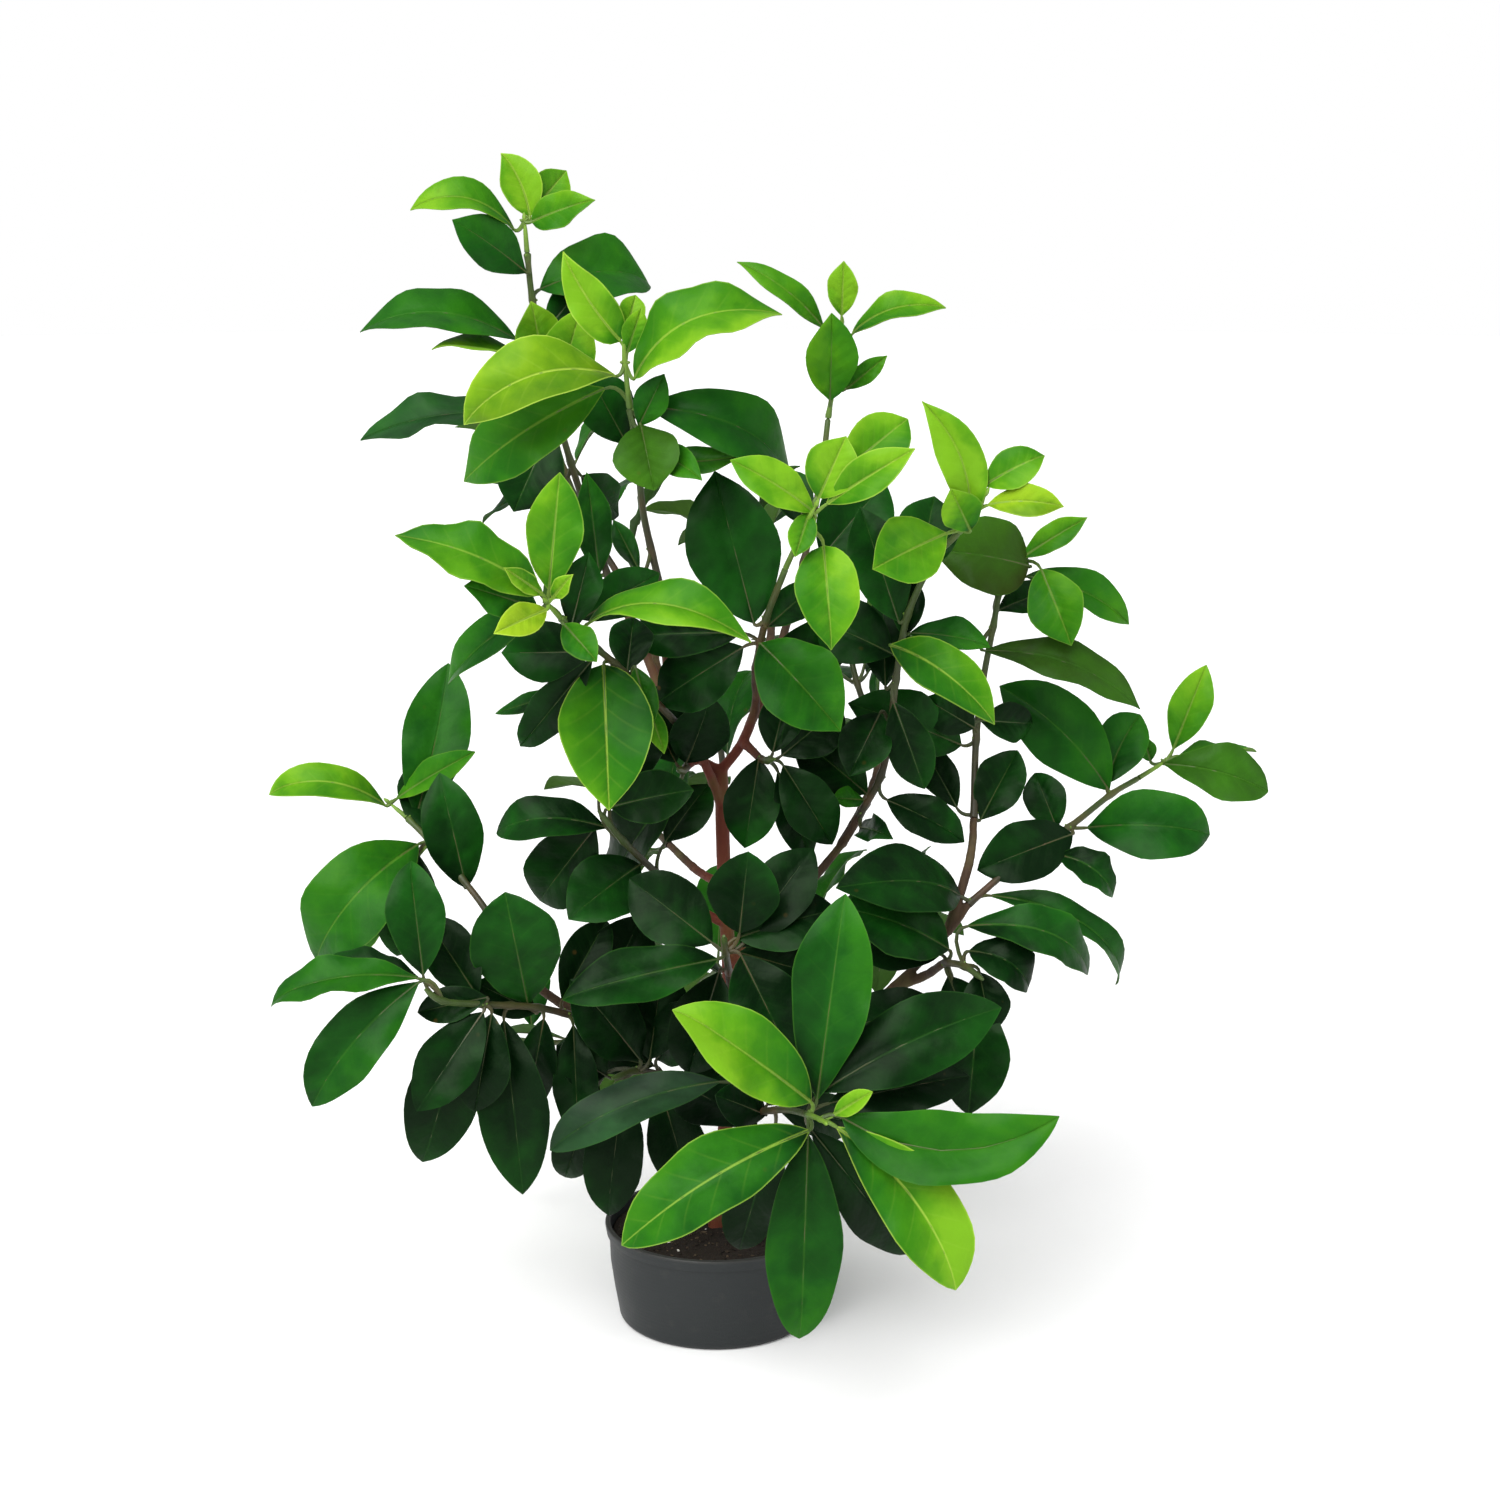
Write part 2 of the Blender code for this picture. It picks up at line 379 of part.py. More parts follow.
    "inner_low": {
        "stem": [(-3.0, 14.6, 3), (-4.6, 14.9, 5), (-6.0, 14.4, 6.4)],
        "old": [
            (-5.4, 13.7, -6.4, 5.8, 3.3, 1.4, 0.10, 0.06, 0.0),
            (-6.8, 14.0, -8.9, 8.1, 2.6, -1.6, 0.10, 0.06, 0.0),
            (-4.4, 15.6, -8.2, 20.4, 3.6, 2.0, 0.15, 0.05, 0.02),
            (-3.8, 15.6, -3.0, 21.2, 3.4, -1.4, 0.10, 0.05, 0.0),
            (-3.2, 13.8, -1.4, 7.2, 3.2, 0.6, 0.10, 0.06, 0.0),
            (-3.4, 15.6, -0.6, 18.9, 3.0, 3.0, 0.20, 0.05, 0.05),
            (-6.4, 14.6, -9.2, 16.4, 3.0, 1.4, 0.15, 0.06, 0.0),
            (-3.6, 15.2, -7.6, 15.9, 1.9, -1.6, 0.20, 0.05, 0.0),
            (-2.4, 14.2, 2.4, 11.6, 3.4, 1.6, 0.10, 0.06, 0.0),
        ],
    },
    "fork_left": {
        "stem": [(-1.6, 32.9, 2.8), (-1.8, 32.7, 4.0), (-2.1, 32.8, 5.2)],
        "old": [
            (-2.3, 31.6, -6.4, 24.8, 4.4, 1.0, 0.15, 0.06, 0.06),
            (-2.2, 33.2, -4.4, 37.6, 3.4, -1.5, 0.10, 0.05, 0.02),
            (-1.6, 33.2, -0.2, 37.0, 3.2, -2.0, 0.10, 0.05, 0.02),
        ],
    },
    "fork_right": {
        "stem": [(2.6, 33.4, 3.0), (3.0, 33.3, 4.0), (3.4, 33.4, 5.0)],
        "old": [
            (3.8, 33.6, 7.2, 36.4, 3.2, -1.5, 0.10, 0.05, 0.02),
            (3.9, 33.0, 6.7, 28.4, 2.9, 0.6, 0.15, 0.05, 0.06),
            (2.5, 33.4, 1.7, 28.2, 3.0, 0.8, 0.10, 0.05, 0.05),
            (3.6, 32.6, 5.4, 27.6, 2.2, -1.0, 0.10, 0.05, 0.05),
            (3.3, 33.8, 4.1, 37.3, 2.4, -1.6, 0.10, 0.05, 0.0),
        ],
    },
    "heart": {
        "stem": [(0.8, 20.8, 6), (0.6, 22.0, 8.6), (0.5, 23.0, 10.6)],
        "old": [
            (1.4, 23.2, 1.9, 28.0, 3.9, 0.6, 0.05, 0.05, 0.04),
            (1.8, 22.8, 5.6, 28.2, 3.4, -2.2, 0.10, 0.05, 0.0),
            (-0.2, 22.6, -4.9, 26.4, 3.8, -1.6, 0.10, 0.05, 0.0),
            (0.1, 21.6, -8.9, 19.3, 3.2, 1.6, 0.25, 0.06, 0.15),
            (1.5, 22.4, 5.0, 25.6, 3.4, -2.6, 0.15, 0.05, 0.02),
            (1.5, 21.8, 4.5, 15.4, 4.2, 1.0, 0.10, 0.06, 0.0),
            (1.4, 22.0, 6.6, 20.4, 3.2, -1.6, 0.15, 0.05, 0.0),
            (1.3, 22.9, 7.0, 24.6, 3.4, -1.0, 0.20, 0.06, 0.05),
            (0.2, 20.8, -1.6, 14.6, 3.6, -1.4, 0.10, 0.06, 0.03),
        ],
    },
}

# Shoots behind the trunk, whose leaves stand in crossed pairs: stem, seed, leaf pairs and leaf length
BACK_SHOOTS = {
    "back_crown": ([(-4.9, 43.2, -8), (-6.8, 46.4, -10), (-8.2, 49.6, -11), (-9.0, 52.6, -11)], 3, 3, 6.6),
    "back_top": ([(2.8, 43.2, -10), (2.0, 45.2, -12), (1.2, 47.2, -13)], 5, 3, 6.4),
    "back_right": ([(8.9, 35.2, -9), (8.0, 37.8, -12), (7.4, 40.4, -14)], 7, 3, 7.0),
    "back_centre": ([(0.5, 32.6, -6.5), (0.2, 34.4, -11), (-1.0, 36.2, -15), (-1.8, 38.4, -18)], 11, 3, 7.2),
    "back_left": ([(-2.6, 28.4, -6), (-4.6, 30.6, -10), (-5.2, 32.6, -14), (-5.4, 35.0, -16)], 13, 3, 6.6),
    "back_low": ([(1.4, 18.7, -6.5), (1.6, 20.0, -11), (0.6, 20.8, -16), (-0.4, 21.6, -20)], 17, 3, 8.2),
    "back_side": ([(5.2, 23.0, -5), (8.2, 23.4, -9), (9.8, 23.4, -13), (11.2, 23.8, -16)], 19, 3, 6.8),
    "back_low_left": ([(-3.2, 16.5, -5), (-6.2, 17.0, -9), (-9.0, 16.6, -12), (-11.8, 16.8, -14)], 23, 3, 7.4),
}
FIRST_PAIR = 0.18
PAIR_SPREAD = 0.8
PAIR_WIDTH = 0.42
PAIR_RISE = 0.30
PAIR_SKEW = 0.35
PAIR_AHEAD = 0.55
PAIR_LEAST_SIZE = 0.86
PAIR_SIZE_SPAN = 0.2
PAIR_STALK = 12 * MM
PAIR_SAG = 0.12
PAIR_ARCH = 0.10
PAIR_YOUTH = 0.12
PAIR_YOUTH_SPAN = 0.3
PAIR_LIFT_SHARE = 6


def material(name, colour, roughness, metallic=0.0):
    made = bpy.data.materials.new(name)
    made.use_nodes = True
    shader = made.node_tree.nodes["Principled BSDF"]
    shader.inputs["Base Color"].default_value = (*colour, 1)
    shader.inputs["Roughness"].default_value = roughness
    shader.inputs["Metallic"].default_value = metallic
    return made


def seen(x, z, front):
    """The point seen at x, z on the upright plane, brought forward along the line of sight (cm)."""
    on_plane = Vector((x, 0, z)) * CM
    return on_plane + (EYE - on_plane) * (front * CM / -EYE.y)


def smooth_line(points):
    """A smooth curve through the points, with a point about every STEM_STEP."""
    ends = [2 * points[0] - points[1], *points, 2 * points[-1] - points[-2]]
    line = []
    for a, b, c, d in zip(ends, ends[1:], ends[2:], ends[3:]):
        count = max(1, round((c - b).length / STEM_STEP))
        for i in range(count):
            t = i / count
            bend, twist = 2 * a - 5 * b + 4 * c - d, 3 * b - a - 3 * c + d
            line.append(0.5 * (2 * b + (c - a) * t + bend * t**2 + twist * t**3))
    line.append(points[-1].copy())
    return line


def parted(points, at):
    """The smooth lines before and after one of the points, which end square to each other across the gap."""
    heading = (points[at + 1] - points[at - 1]).normalized()
    short, long = heading * GAP / 2, heading * (GAP / 2 + SQUARE_END)
    middle = points[at]
    before = smooth_line([*points[:at], middle - long])
    after = smooth_line([middle + long, *points[at + 1 :]])
    return [*before, middle - short], [middle + short, *after]


def tube(name, line, radii, sides):
    """A round tapering stem along the line, as a closed mesh object."""
    curve = bpy.data.curves.new(name, "CURVE")
    curve.dimensions = "3D"
    curve.bevel_depth = 1
    curve.bevel_resolution = 0
    curve.use_fill_caps = True
    curve.bevel_mode = "OBJECT"
    curve.bevel_object = ring_profile(sides)
    spline = curve.splines.new("POLY")
    spline.points.add(len(line) - 1)
    for i, (point, at) in enumerate(zip(spline.points, line)):
        share = i / (len(line) - 1)
        point.co = (*at, 1)
        point.radius = radii[0] + (radii[1] - radii[0]) * share
    holder = bpy.data.objects.new(name + "_curve", curve)
    bpy.context.scene.collection.objects.link(holder)
    bpy.context.view_layer.update()
    mesh = bpy.data.meshes.new_from_object(holder.evaluated_get(bpy.context.evaluated_depsgraph_get()))
    bpy.data.objects.remove(holder)
    bm = bmesh.new()
    bm.from_mesh(mesh)
    bmesh.ops.remove_doubles(bm, verts=bm.verts, dist=0.02 * MM)
    bmesh.ops.recalc_face_normals(bm, faces=bm.faces)
    bm.to_mesh(mesh)
    bm.free()
    return add_object(name, mesh)


def ring_profile(sides):
    """The unit ring that every stem of that many sides is swept from. It is only a guide."""
    name = f"ring_{sides}"
    if name in bpy.data.objects:
        return bpy.data.objects[name]
    curve = bpy.data.curves.new(name, "CURVE")
    curve.dimensions = "2D"
    spline = curve.splines.new("POLY")
    spline.points.add(sides - 1)
    for i, point in enumerate(spline.points):
        angle = math.tau * i / sides
        point.co = (math.cos(angle), math.sin(angle), 0, 1)
    spline.use_cyclic_u = True
    guide = bpy.data.objects.new(name, curve)
    guide.hide_render = True
    guide.display_type = "WIRE"
    bpy.context.scene.collection.objects.link(guide)
    return guide


def add_object(name, mesh):
    made = bpy.data.objects.new(name, mesh)
    bpy.context.scene.collection.objects.link(made)
    return made


class Blade:
    """One leaf: where its stalk leaves the stem, its base and tip, and the way its face turns."""

    def __init__(self, root, base, tip, facing, width, arch, youth, bow=0.0, belly=BELLY):
        self.root, self.base, self.tip = root, base, tip
        self.width, self.arch, self.youth, self.bow, self.belly = width, arch, youth, bow, belly
        self.axis = tip - base
        along = self.axis.normalized()
        self.facing = (facing - facing.dot(along) * along).normalized()
        self.side = along.cross(self.facing)

    def midrib(self, t):
        bulge = 4 * t * (1 - t) * self.axis.length
        return self.base + self.axis * t + (self.facing * self.arch + self.side * self.bow) * bulge

    def half_width(self, t):
        """An ellipse drawn towards the tip or the base by its belly, with the stalk at its foot."""
        shifted = t**self.belly
        swell = math.sqrt(max(0.0, 4 * shifted * (1 - shifted)))
        return max(TIP_HALF if t > 0.5 else PETIOLE_HALF, self.width / 2 * swell * FULLNESS)

    def point(self, t, across):
        """A point of the blade, t from base to tip, across from -1 to 1. Below 0, t runs down the stalk."""
        if t < 0:
            middle = self.root.lerp(self.base, 1 + t)
            ahead = self.base - self.root
        else:
            middle = self.midrib(t)
            ahead = self.midrib(t + 0.01) - self.midrib(t - 0.01)
        ahead = ahead.normalized()
        face = (self.facing - self.facing.dot(ahead) * ahead).normalized()
        side = ahead.cross(face)
        half = self.half_width(t) if t >= 0 else PETIOLE_HALF
        return middle + side * (across * half) + face * (abs(across) * half * FOLD), face

    def rows(self):
        return (-1.0, *(SHORT_ROWS if self.axis.length < SHORT_BLADE else BLADE_ROWS))

    def shell(self, rise, skipped):
        """The vertices and triangles of the blade, that far above and below its middle surface."""
        upper, lower = [], []
        rows = self.rows()[skipped:]
        for t in rows:
            for across in (-1, 0, 1):
                at, face = self.point(t, across)
                upper.append(at + face * rise)
                lower.append(at - face * rise)
        count = len(upper)
        faces = []
        for row in range(len(rows) - 1):
            for column in range(2):
                a = row * 3 + column
                faces += [(a, a + 1, a + 4), (a, a + 4, a + 3)]
        rims = [[r * 3 for r in range(len(rows))], [r * 3 + 2 for r in range(len(rows))]]
        rims += [[0, 1, 2], [count - 3, count - 2, count - 1]]
        walls = []
        for rim in rims:
            for a, b in zip(rim, rim[1:]):
                walls += [(a, b, b + count), (a, b + count, a + count)]
        under = [(a + count, b + count, c + count) for a, b, c in faces]
        return upper + lower, faces + under + walls

    def tree(self, clearance=0.0, skipped=0):
        points, faces = self.shell(self.thickness() / 2 + clearance, skipped)
        return BVHTree.FromPolygons(points, faces, all_triangles=True)

    def thickness(self):
        return OLD_THICKNESS + (YOUNG_THICKNESS - OLD_THICKNESS) * self.youth

    def build(self, name):
        """The leaf as an object: a folded grid with its thickness added, alike on both faces."""
        bm = bmesh.new()
        rows = self.rows()
        bmesh.ops.create_grid(bm, x_segments=2, y_segments=len(rows) - 1, size=1)
        bmesh.ops.triangulate(bm, faces=bm.faces, quad_method="FIXED")
        ends = {0: [], len(rows) - 1: []}
        for vert in bm.verts:
            row = round((vert.co.y + 1) / 2 * (len(rows) - 1))
            vert.co = self.point(rows[row], round(vert.co.x))[0]
            if row in ends:
                ends[row].append(vert)
        inside = self.root + (self.root - self.base).normalized() * ROOT_DEPTH
        bmesh.ops.pointmerge(bm, verts=ends[0], merge_co=inside)
        bmesh.ops.pointmerge(bm, verts=ends[len(rows) - 1], merge_co=self.tip)
        mesh = bpy.data.meshes.new(name)
        bm.to_mesh(mesh)
        bm.free()
        leaf = add_object(name, mesh)
        thick = leaf.modifiers.new("thickness", "SOLIDIFY")
        thick.thickness = self.thickness()
        thick.offset = 0
        return leaf


def blade_from_row(row, line, reach_more=0.0, roll=0.0):
    """The leaf that a row describes, on this stem, its tip brought further forward or its face turned."""
    base_x, base_z, tip_x, tip_z, width, reach, sky, arch, youth = row[:9]
    extras = row[9] if len(row) > 9 else {}
    near = min(line, key=lambda p: (seen_place(p) - Vector((base_x, base_z))).length)
    front = -near.y / CM
    reach += reach_more
    base = seen(base_x, base_z, front + BASE_REACH * reach)
    tip = seen(tip_x, tip_z, front + reach)
    to_eye = (EYE - (base + tip) / 2).normalized()
    facing = to_eye * (1 - sky) + UP * sky
    along = (tip - base).normalized()
    facing = Matrix.Rotation(roll, 3, along) @ facing
    shrink = 1 - front * CM / -EYE.y
    bow, belly = extras.get("bow", 0), extras.get("belly", BELLY)
    return Blade(near, base, tip, facing, width * CM * shrink, arch, youth, bow, belly)


def seen_place(point):
    """Where a point is seen on the upright plane, in centimetres."""
    share = -EYE.y / (point.y - EYE.y)
    on_plane = EYE + (point - EYE) * share
    return Vector((on_plane.x, on_plane.z)) / CM


def blade_from_pair(line, number, pairs, length, draw, side, lift=0.0, roll=0.0):
    """One leaf of a crossed pair on a stem behind the trunk."""
    share = FIRST_PAIR + PAIR_SPREAD * number / max(1, pairs - 1)
    index = min(len(line) - 2, round(share * (len(line) - 1)))
    near = line[index]
    along = (line[index + 1] - near).normalized()
    across = along.cross(UP).normalized()
    crossed = across.cross(along)
    out = (across if number % 2 else (across * PAIR_SKEW + crossed).normalized()) * side
    away = Vector((near.x / 2, 1.0, 0)).normalized()
    heading = (out + (along + away) * PAIR_AHEAD + UP * (PAIR_RISE * draw[0] + lift)).normalized()
    size = length * CM * (PAIR_LEAST_SIZE + PAIR_SIZE_SPAN * draw[1])
    base = near + heading * PAIR_STALK
    tip = base + heading * size - UP * size * PAIR_SAG
    facing = Matrix.Rotation(roll, 3, heading) @ (UP + away / 2)
    youth = PAIR_YOUTH + PAIR_YOUTH_SPAN * draw[2]
    return Blade(near, base, tip, facing, size * PAIR_WIDTH, PAIR_ARCH, youth)


def crossings_of(blade, placed, own, sisters):
    """How many solids of other nodes, and leaves of the same shoot, the leaf would cross."""
    wide = blade.tree(CLEARANCE)
    narrow = blade.tree(0, JOINT_ROWS)
    others = sum(1 for name, other in placed if name not in own and wide.overlap(other))
    return OTHER_NODE_COST * others + sum(1 for sister in sisters if narrow.overlap(sister))


def bend_clear(make, placed, own, sisters):
    """The leaf with the least bend that crosses nothing already there, or else crosses the least."""
    bends = [(0.0, 0.0)]
    for step in range(1, MOST_BEND * 2):
        for sign in (1, -1):
            bends.append((sign * step / 2, 0.0))
    bends += [(sign * step, turn) for step in range(MOST_BEND) for sign in (1, -1) for turn in TURNS]
    bends.sort(key=lambda bend: abs(bend[0]) + TURN_COST * abs(bend[1]))
    best = None
    for bend in bends:
        blade = make(*bend)
        crossings = crossings_of(blade, placed, own, sisters)
        if crossings == 0:
            return blade
        if best is None or crossings < best[1]:
            best = (blade, crossings)
    return best[0]


def tree_of(obj):
    mesh = obj.data
    mesh.calc_loop_triangles()
    points = [v.co.copy() for v in mesh.vertices]
    faces = [tuple(t.vertices) for t in mesh.loop_triangles]
    return BVHTree.FromPolygons(points, faces, all_triangles=True)


def fuse(body, pieces):
    """Joins the pieces to the body with one Boolean union and removes them."""
    group = bpy.data.collections.new(body.name + "_pieces")
    bpy.context.scene.collection.children.link(group)
    for piece in pieces:
        bpy.context.scene.collection.objects.unlink(piece)
        group.objects.link(piece)
    join = body.modifiers.new("join", "BOOLEAN")
    join.operation = "UNION"
    join.operand_type = "COLLECTION"
    join.collection = group
    join.solver = "MANIFOLD"
    bpy.context.view_layer.update()
    whole = bpy.data.meshes.new_from_object(body.evaluated_get(bpy.context.evaluated_depsgraph_get()))
    body.modifiers.clear()
    body.data = whole
    for piece in pieces:
        bpy.data.objects.remove(piece)
    bpy.data.collections.remove(group)
    return body


def finish(obj, finish_material, smooth_angle=40):
    obj.data.materials.clear()
    obj.data.materials.append(finish_material)
    obj.data.shade_smooth()
    obj.data.set_sharp_from_angle(angle=math.radians(smooth_angle))


def turned(name, profile, sides):
    """A closed solid turned about the pot's axis from (radius, height) points that end on the axis."""
    bm = bmesh.new()
    ring = [bm.verts.new((radius, 0, height)) for radius, height in profile]
    edges = [bm.edges.new(pair) for pair in zip(ring, ring[1:])]
    bmesh.ops.spin(
        bm, geom=[*ring, *edges], cent=(0, 0, 0), axis=UP, angle=math.tau, steps=sides, use_merge=True,
        use_duplicate=False,
    )
    bmesh.ops.remove_doubles(bm, verts=bm.verts, dist=0.01 * MM)
    bmesh.ops.recalc_face_normals(bm, faces=bm.faces)
    mesh = bpy.data.meshes.new(name)
    bm.to_mesh(mesh)
    bm.free()
    return add_object(name, mesh)


def outer_radius(height):
    return BASE_RADIUS + (RIM_RADIUS - BASE_RADIUS) * height / POT_HEIGHT


def inner_radius(height):
    return outer_radius(height) - WALL


def make_pot():
    """The low round pot: tapered wall, rounded foot, thickened lip and a ring of drain holes."""
    foot = []
    for i in range(4):
        angle = math.radians(90 * i / 3)
        foot.append((BASE_RADIUS - BASE_ROUND * (1 - math.sin(angle)), BASE_ROUND * (1 - math.cos(angle))))
    lip = POT_HEIGHT - LIP_HEIGHT
    profile = [
        (0, 0),
        *foot,
        (outer_radius(lip) - LIP_PROUD, lip),
        (outer_radius(lip), lip + 0.6 * MM),
        (RIM_RADIUS, POT_HEIGHT - 0.8 * MM),
        (RIM_RADIUS - 0.8 * MM, POT_HEIGHT),
        (RIM_RADIUS - WALL - LIP_PROUD, POT_HEIGHT),
        (inner_radius(lip) - LIP_PROUD, lip - 1 * MM),
        (inner_radius(WALL + 3 * MM) - LIP_PROUD / 2, WALL + 3 * MM),
        (inner_radius(WALL) - 3 * MM, WALL),
        (0, WALL),
    ]
    pot = turned("pot", profile, POT_SIDES)
    cutters = []
    for i in range(DRAIN_COUNT):
        angle = math.tau * (i + DRAIN_TURN) / DRAIN_COUNT
        at = Vector((math.cos(angle) * DRAIN_RING, math.sin(angle) * DRAIN_RING, WALL / 2))
        bm = bmesh.new()
        bmesh.ops.create_cone(
            bm, cap_ends=True, segments=8, radius1=DRAIN_RADIUS, radius2=DRAIN_RADIUS, depth=WALL * 3,
            matrix=Matrix.Translation(at),
        )
        mesh = bpy.data.meshes.new("drain")
        bm.to_mesh(mesh)
        bm.free()
        cutters.append(add_object("drain", mesh))
    for cutter in cutters:
        cutter.hide_render = True
        cutter.display_type = "WIRE"
        cut = pot.modifiers.new("drain", "BOOLEAN")
        cut.operation = "DIFFERENCE"
        cut.object = cutter
    return pot


def soil_height(radius, angle):
    """The mix is mounded a little towards the trunk and lies in soft lumps."""
    mound = SOIL_MOUND * (1 - radius / RIM_RADIUS)
    lumps = 0.9 * MM * math.sin(3 * angle + 90 * radius) * math.sin(160 * radius) * min(1, radius / 0.02)
    return SOIL_TOP + mound + lumps


def make_soil():
    """The potting mix, clear of the pot by the gap, with a plain hole for the trunk."""
    hole = TRUNK_RADII[0] + GAP
    hole_floor = TRUNK_FOOT - GAP
    lip = POT_HEIGHT - LIP_HEIGHT
    floor = WALL + GAP
    edge = inner_radius(lip) - LIP_PROUD - GAP - 0.2 * MM
    profile = [(0, hole_floor), (hole, hole_floor)]
    for ring in range(SOIL_RINGS + 1):
        radius = hole + (edge - hole) * ring / SOIL_RINGS
        profile.append((radius, SOIL_TOP))
    profile += [(edge, lip - 2 * MM), (inner_radius(floor + 4 * MM) - 2.2 * MM, floor + 4 * MM)]
    profile += [(inner_radius(floor) - 5 * MM, floor), (0, floor)]
    soil = turned("potting_mix", profile, SOIL_SIDES)
    for vert in soil.data.vertices:
        radius = math.hypot(vert.co.x, vert.co.y)
        if abs(vert.co.z - SOIL_TOP) < 0.1 * MM and radius < edge - 1 * MM:
            vert.co.z = soil_height(radius, math.atan2(vert.co.y, vert.co.x))
    return soil


def leaf_name(node, number):
    return f"{node}_leaf_{number:02d}"


def main():
    for obj in list(bpy.data.objects):
        bpy.data.objects.remove(obj)
    plastic = material("pot plastic", (0.032, 0.036, 0.038), 0.55)
    mix = material("potting mix", (0.035, 0.022, 0.014), 0.95)
    bark = material("bark", (0.11, 0.05, 0.028), 0.7)
    old_leaf = material("old leaf", (0.012, 0.07, 0.012), 0.35)
    young_leaf = material("young leaf", (0.11, 0.33, 0.012), 0.4)

    pot = make_pot()
    finish(pot, plastic, 35)
    soil = make_soil()
    finish(soil, mix, 30)

    trunk_line = [Vector((0, 0, TRUNK_FOOT)), *smooth_line([seen(*p) for p in TRUNK_LINE])]
    trunk = tube("trunk", trunk_line, TRUNK_RADII, TRUNK_SIDES)

    stems = {name: [seen(*p) for p in shoot["stem"]] for name, shoot in SHOOTS.items()}
    stems |= {name: [seen(*p) for p in points] for name, (points, *_) in BACK_SHOOTS.items()}

    branches = []
    wood = {"trunk": trunk_line}
    for name, (parent, places) in BRANCHES.items():
        points = [seen(*p) for p in places]
        points[0] = min(wood[parent], key=lambda p: (p - points[0]).length)
        wood[name], stem = parted([*points, *stems[name]], len(points))
        branches.append(tube(name + "_branch", wood[name], BRANCH_RADII, BRANCH_SIDES))
        young = None
        square_start = (stem[1] - stem[0]).normalized() * SQUARE_END
        if "young" in SHOOTS.get(name, {}):
            places_on = [stem[0], *stems[name][1:]]
            stem, young = parted(places_on, SHOOTS[name]["tip_at"])
            stem.insert(1, stem[0] + square_start)
        stems[name] = (stem, young)

    placed = [("pot", tree_of(pot)), ("potting_mix", tree_of(soil)), ("trunk", tree_of(trunk))]
    placed += [("trunk", tree_of(branch)) for branch in branches]
    fuse(trunk, branches)
    finish(trunk, bark)

    nodes = {}
    for name, (old_line, young_line) in stems.items():
        nodes[name + "_shoot"] = tube(name + "_shoot", old_line, SHOOT_RADII, STEM_SIDES)
        if young_line:
            nodes[name + "_tip"] = tube(name + "_tip", young_line, TIP_RADII, STEM_SIDES)
    placed += [(name, tree_of(obj)) for name, obj in nodes.items()]

    leaves = {name: [] for name in nodes}
    for name, shoot in SHOOTS.items():
        old_line, young_line = stems[name]
        parts = (("_tip", shoot.get("young", []), young_line), ("_shoot", shoot["old"], old_line))
        for part, rows, line in parts:
            node = name + part
            inner = line[1:-1] if line and len(line) > 3 else line
            sisters = []
            for number, row in enumerate(rows):
                blade = bend_clear(
                    lambda reach, roll: blade_from_row(row, inner, reach, roll), placed, {node}, sisters
                )
                leaves[node].append(blade.build(leaf_name(node, number)))
                placed.append((node, blade.tree()))
                sisters.append(blade.tree(0, JOINT_ROWS))
    for name, (_, seed, pairs, length) in BACK_SHOOTS.items():
        node = name + "_shoot"
        dice = random.Random(seed)
        line = stems[name][0]
        sisters = []
        for number in range(pairs):
            for side in (-1, 1):
                draw = [dice.random() for _ in range(3)]
                blade = bend_clear(
                    lambda bend, roll: blade_from_pair(
                        line, number, pairs, length, draw, side, bend / PAIR_LIFT_SHARE, roll
                    ),
                    placed,
                    {node},
                    sisters,
                )
                leaves[node].append(blade.build(leaf_name(node, len(leaves[node]))))
                placed.append((node, blade.tree()))
                sisters.append(blade.tree(0, JOINT_ROWS))
    for name, stem in nodes.items():
        fuse(stem, leaves[name])
        finish(stem, young_leaf if name.endswith("_tip") else old_leaf)


main()
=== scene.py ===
import math
import random
from functools import partial

import bmesh
import bpy
from mathutils import Matrix, Vector, noise
from mathutils.bvhtree import BVHTree
from mathutils.kdtree import KDTree


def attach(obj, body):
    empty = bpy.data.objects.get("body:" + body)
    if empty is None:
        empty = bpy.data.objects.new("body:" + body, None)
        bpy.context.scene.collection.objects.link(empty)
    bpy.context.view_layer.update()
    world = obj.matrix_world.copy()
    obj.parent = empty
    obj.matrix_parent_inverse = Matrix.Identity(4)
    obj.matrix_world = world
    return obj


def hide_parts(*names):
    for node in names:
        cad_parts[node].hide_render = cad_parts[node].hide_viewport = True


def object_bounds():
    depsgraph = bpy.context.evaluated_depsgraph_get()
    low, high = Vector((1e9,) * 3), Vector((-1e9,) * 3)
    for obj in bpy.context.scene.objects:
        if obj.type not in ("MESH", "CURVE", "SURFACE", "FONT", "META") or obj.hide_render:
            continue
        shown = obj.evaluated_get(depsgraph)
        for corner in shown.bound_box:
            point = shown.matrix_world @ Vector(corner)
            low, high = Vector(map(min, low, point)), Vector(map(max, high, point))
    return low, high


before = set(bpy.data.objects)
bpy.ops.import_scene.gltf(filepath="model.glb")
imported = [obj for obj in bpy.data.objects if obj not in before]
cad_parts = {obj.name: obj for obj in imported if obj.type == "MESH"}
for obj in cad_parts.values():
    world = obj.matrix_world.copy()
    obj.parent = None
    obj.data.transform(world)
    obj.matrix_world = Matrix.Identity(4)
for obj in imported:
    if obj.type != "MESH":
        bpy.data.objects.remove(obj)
cadBox = [list(corner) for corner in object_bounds()]
print("frame loaded:", len(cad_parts), "nodes")

cm = 0.01
mm = 0.001
up = Vector((0, 0, 1))
eye = Vector((0.020, -1.505, 0.670))  # where the photograph was taken from


def partWay(ends, step, steps=1):
    return ends[0] + (ends[1] - ends[0]) * step / steps


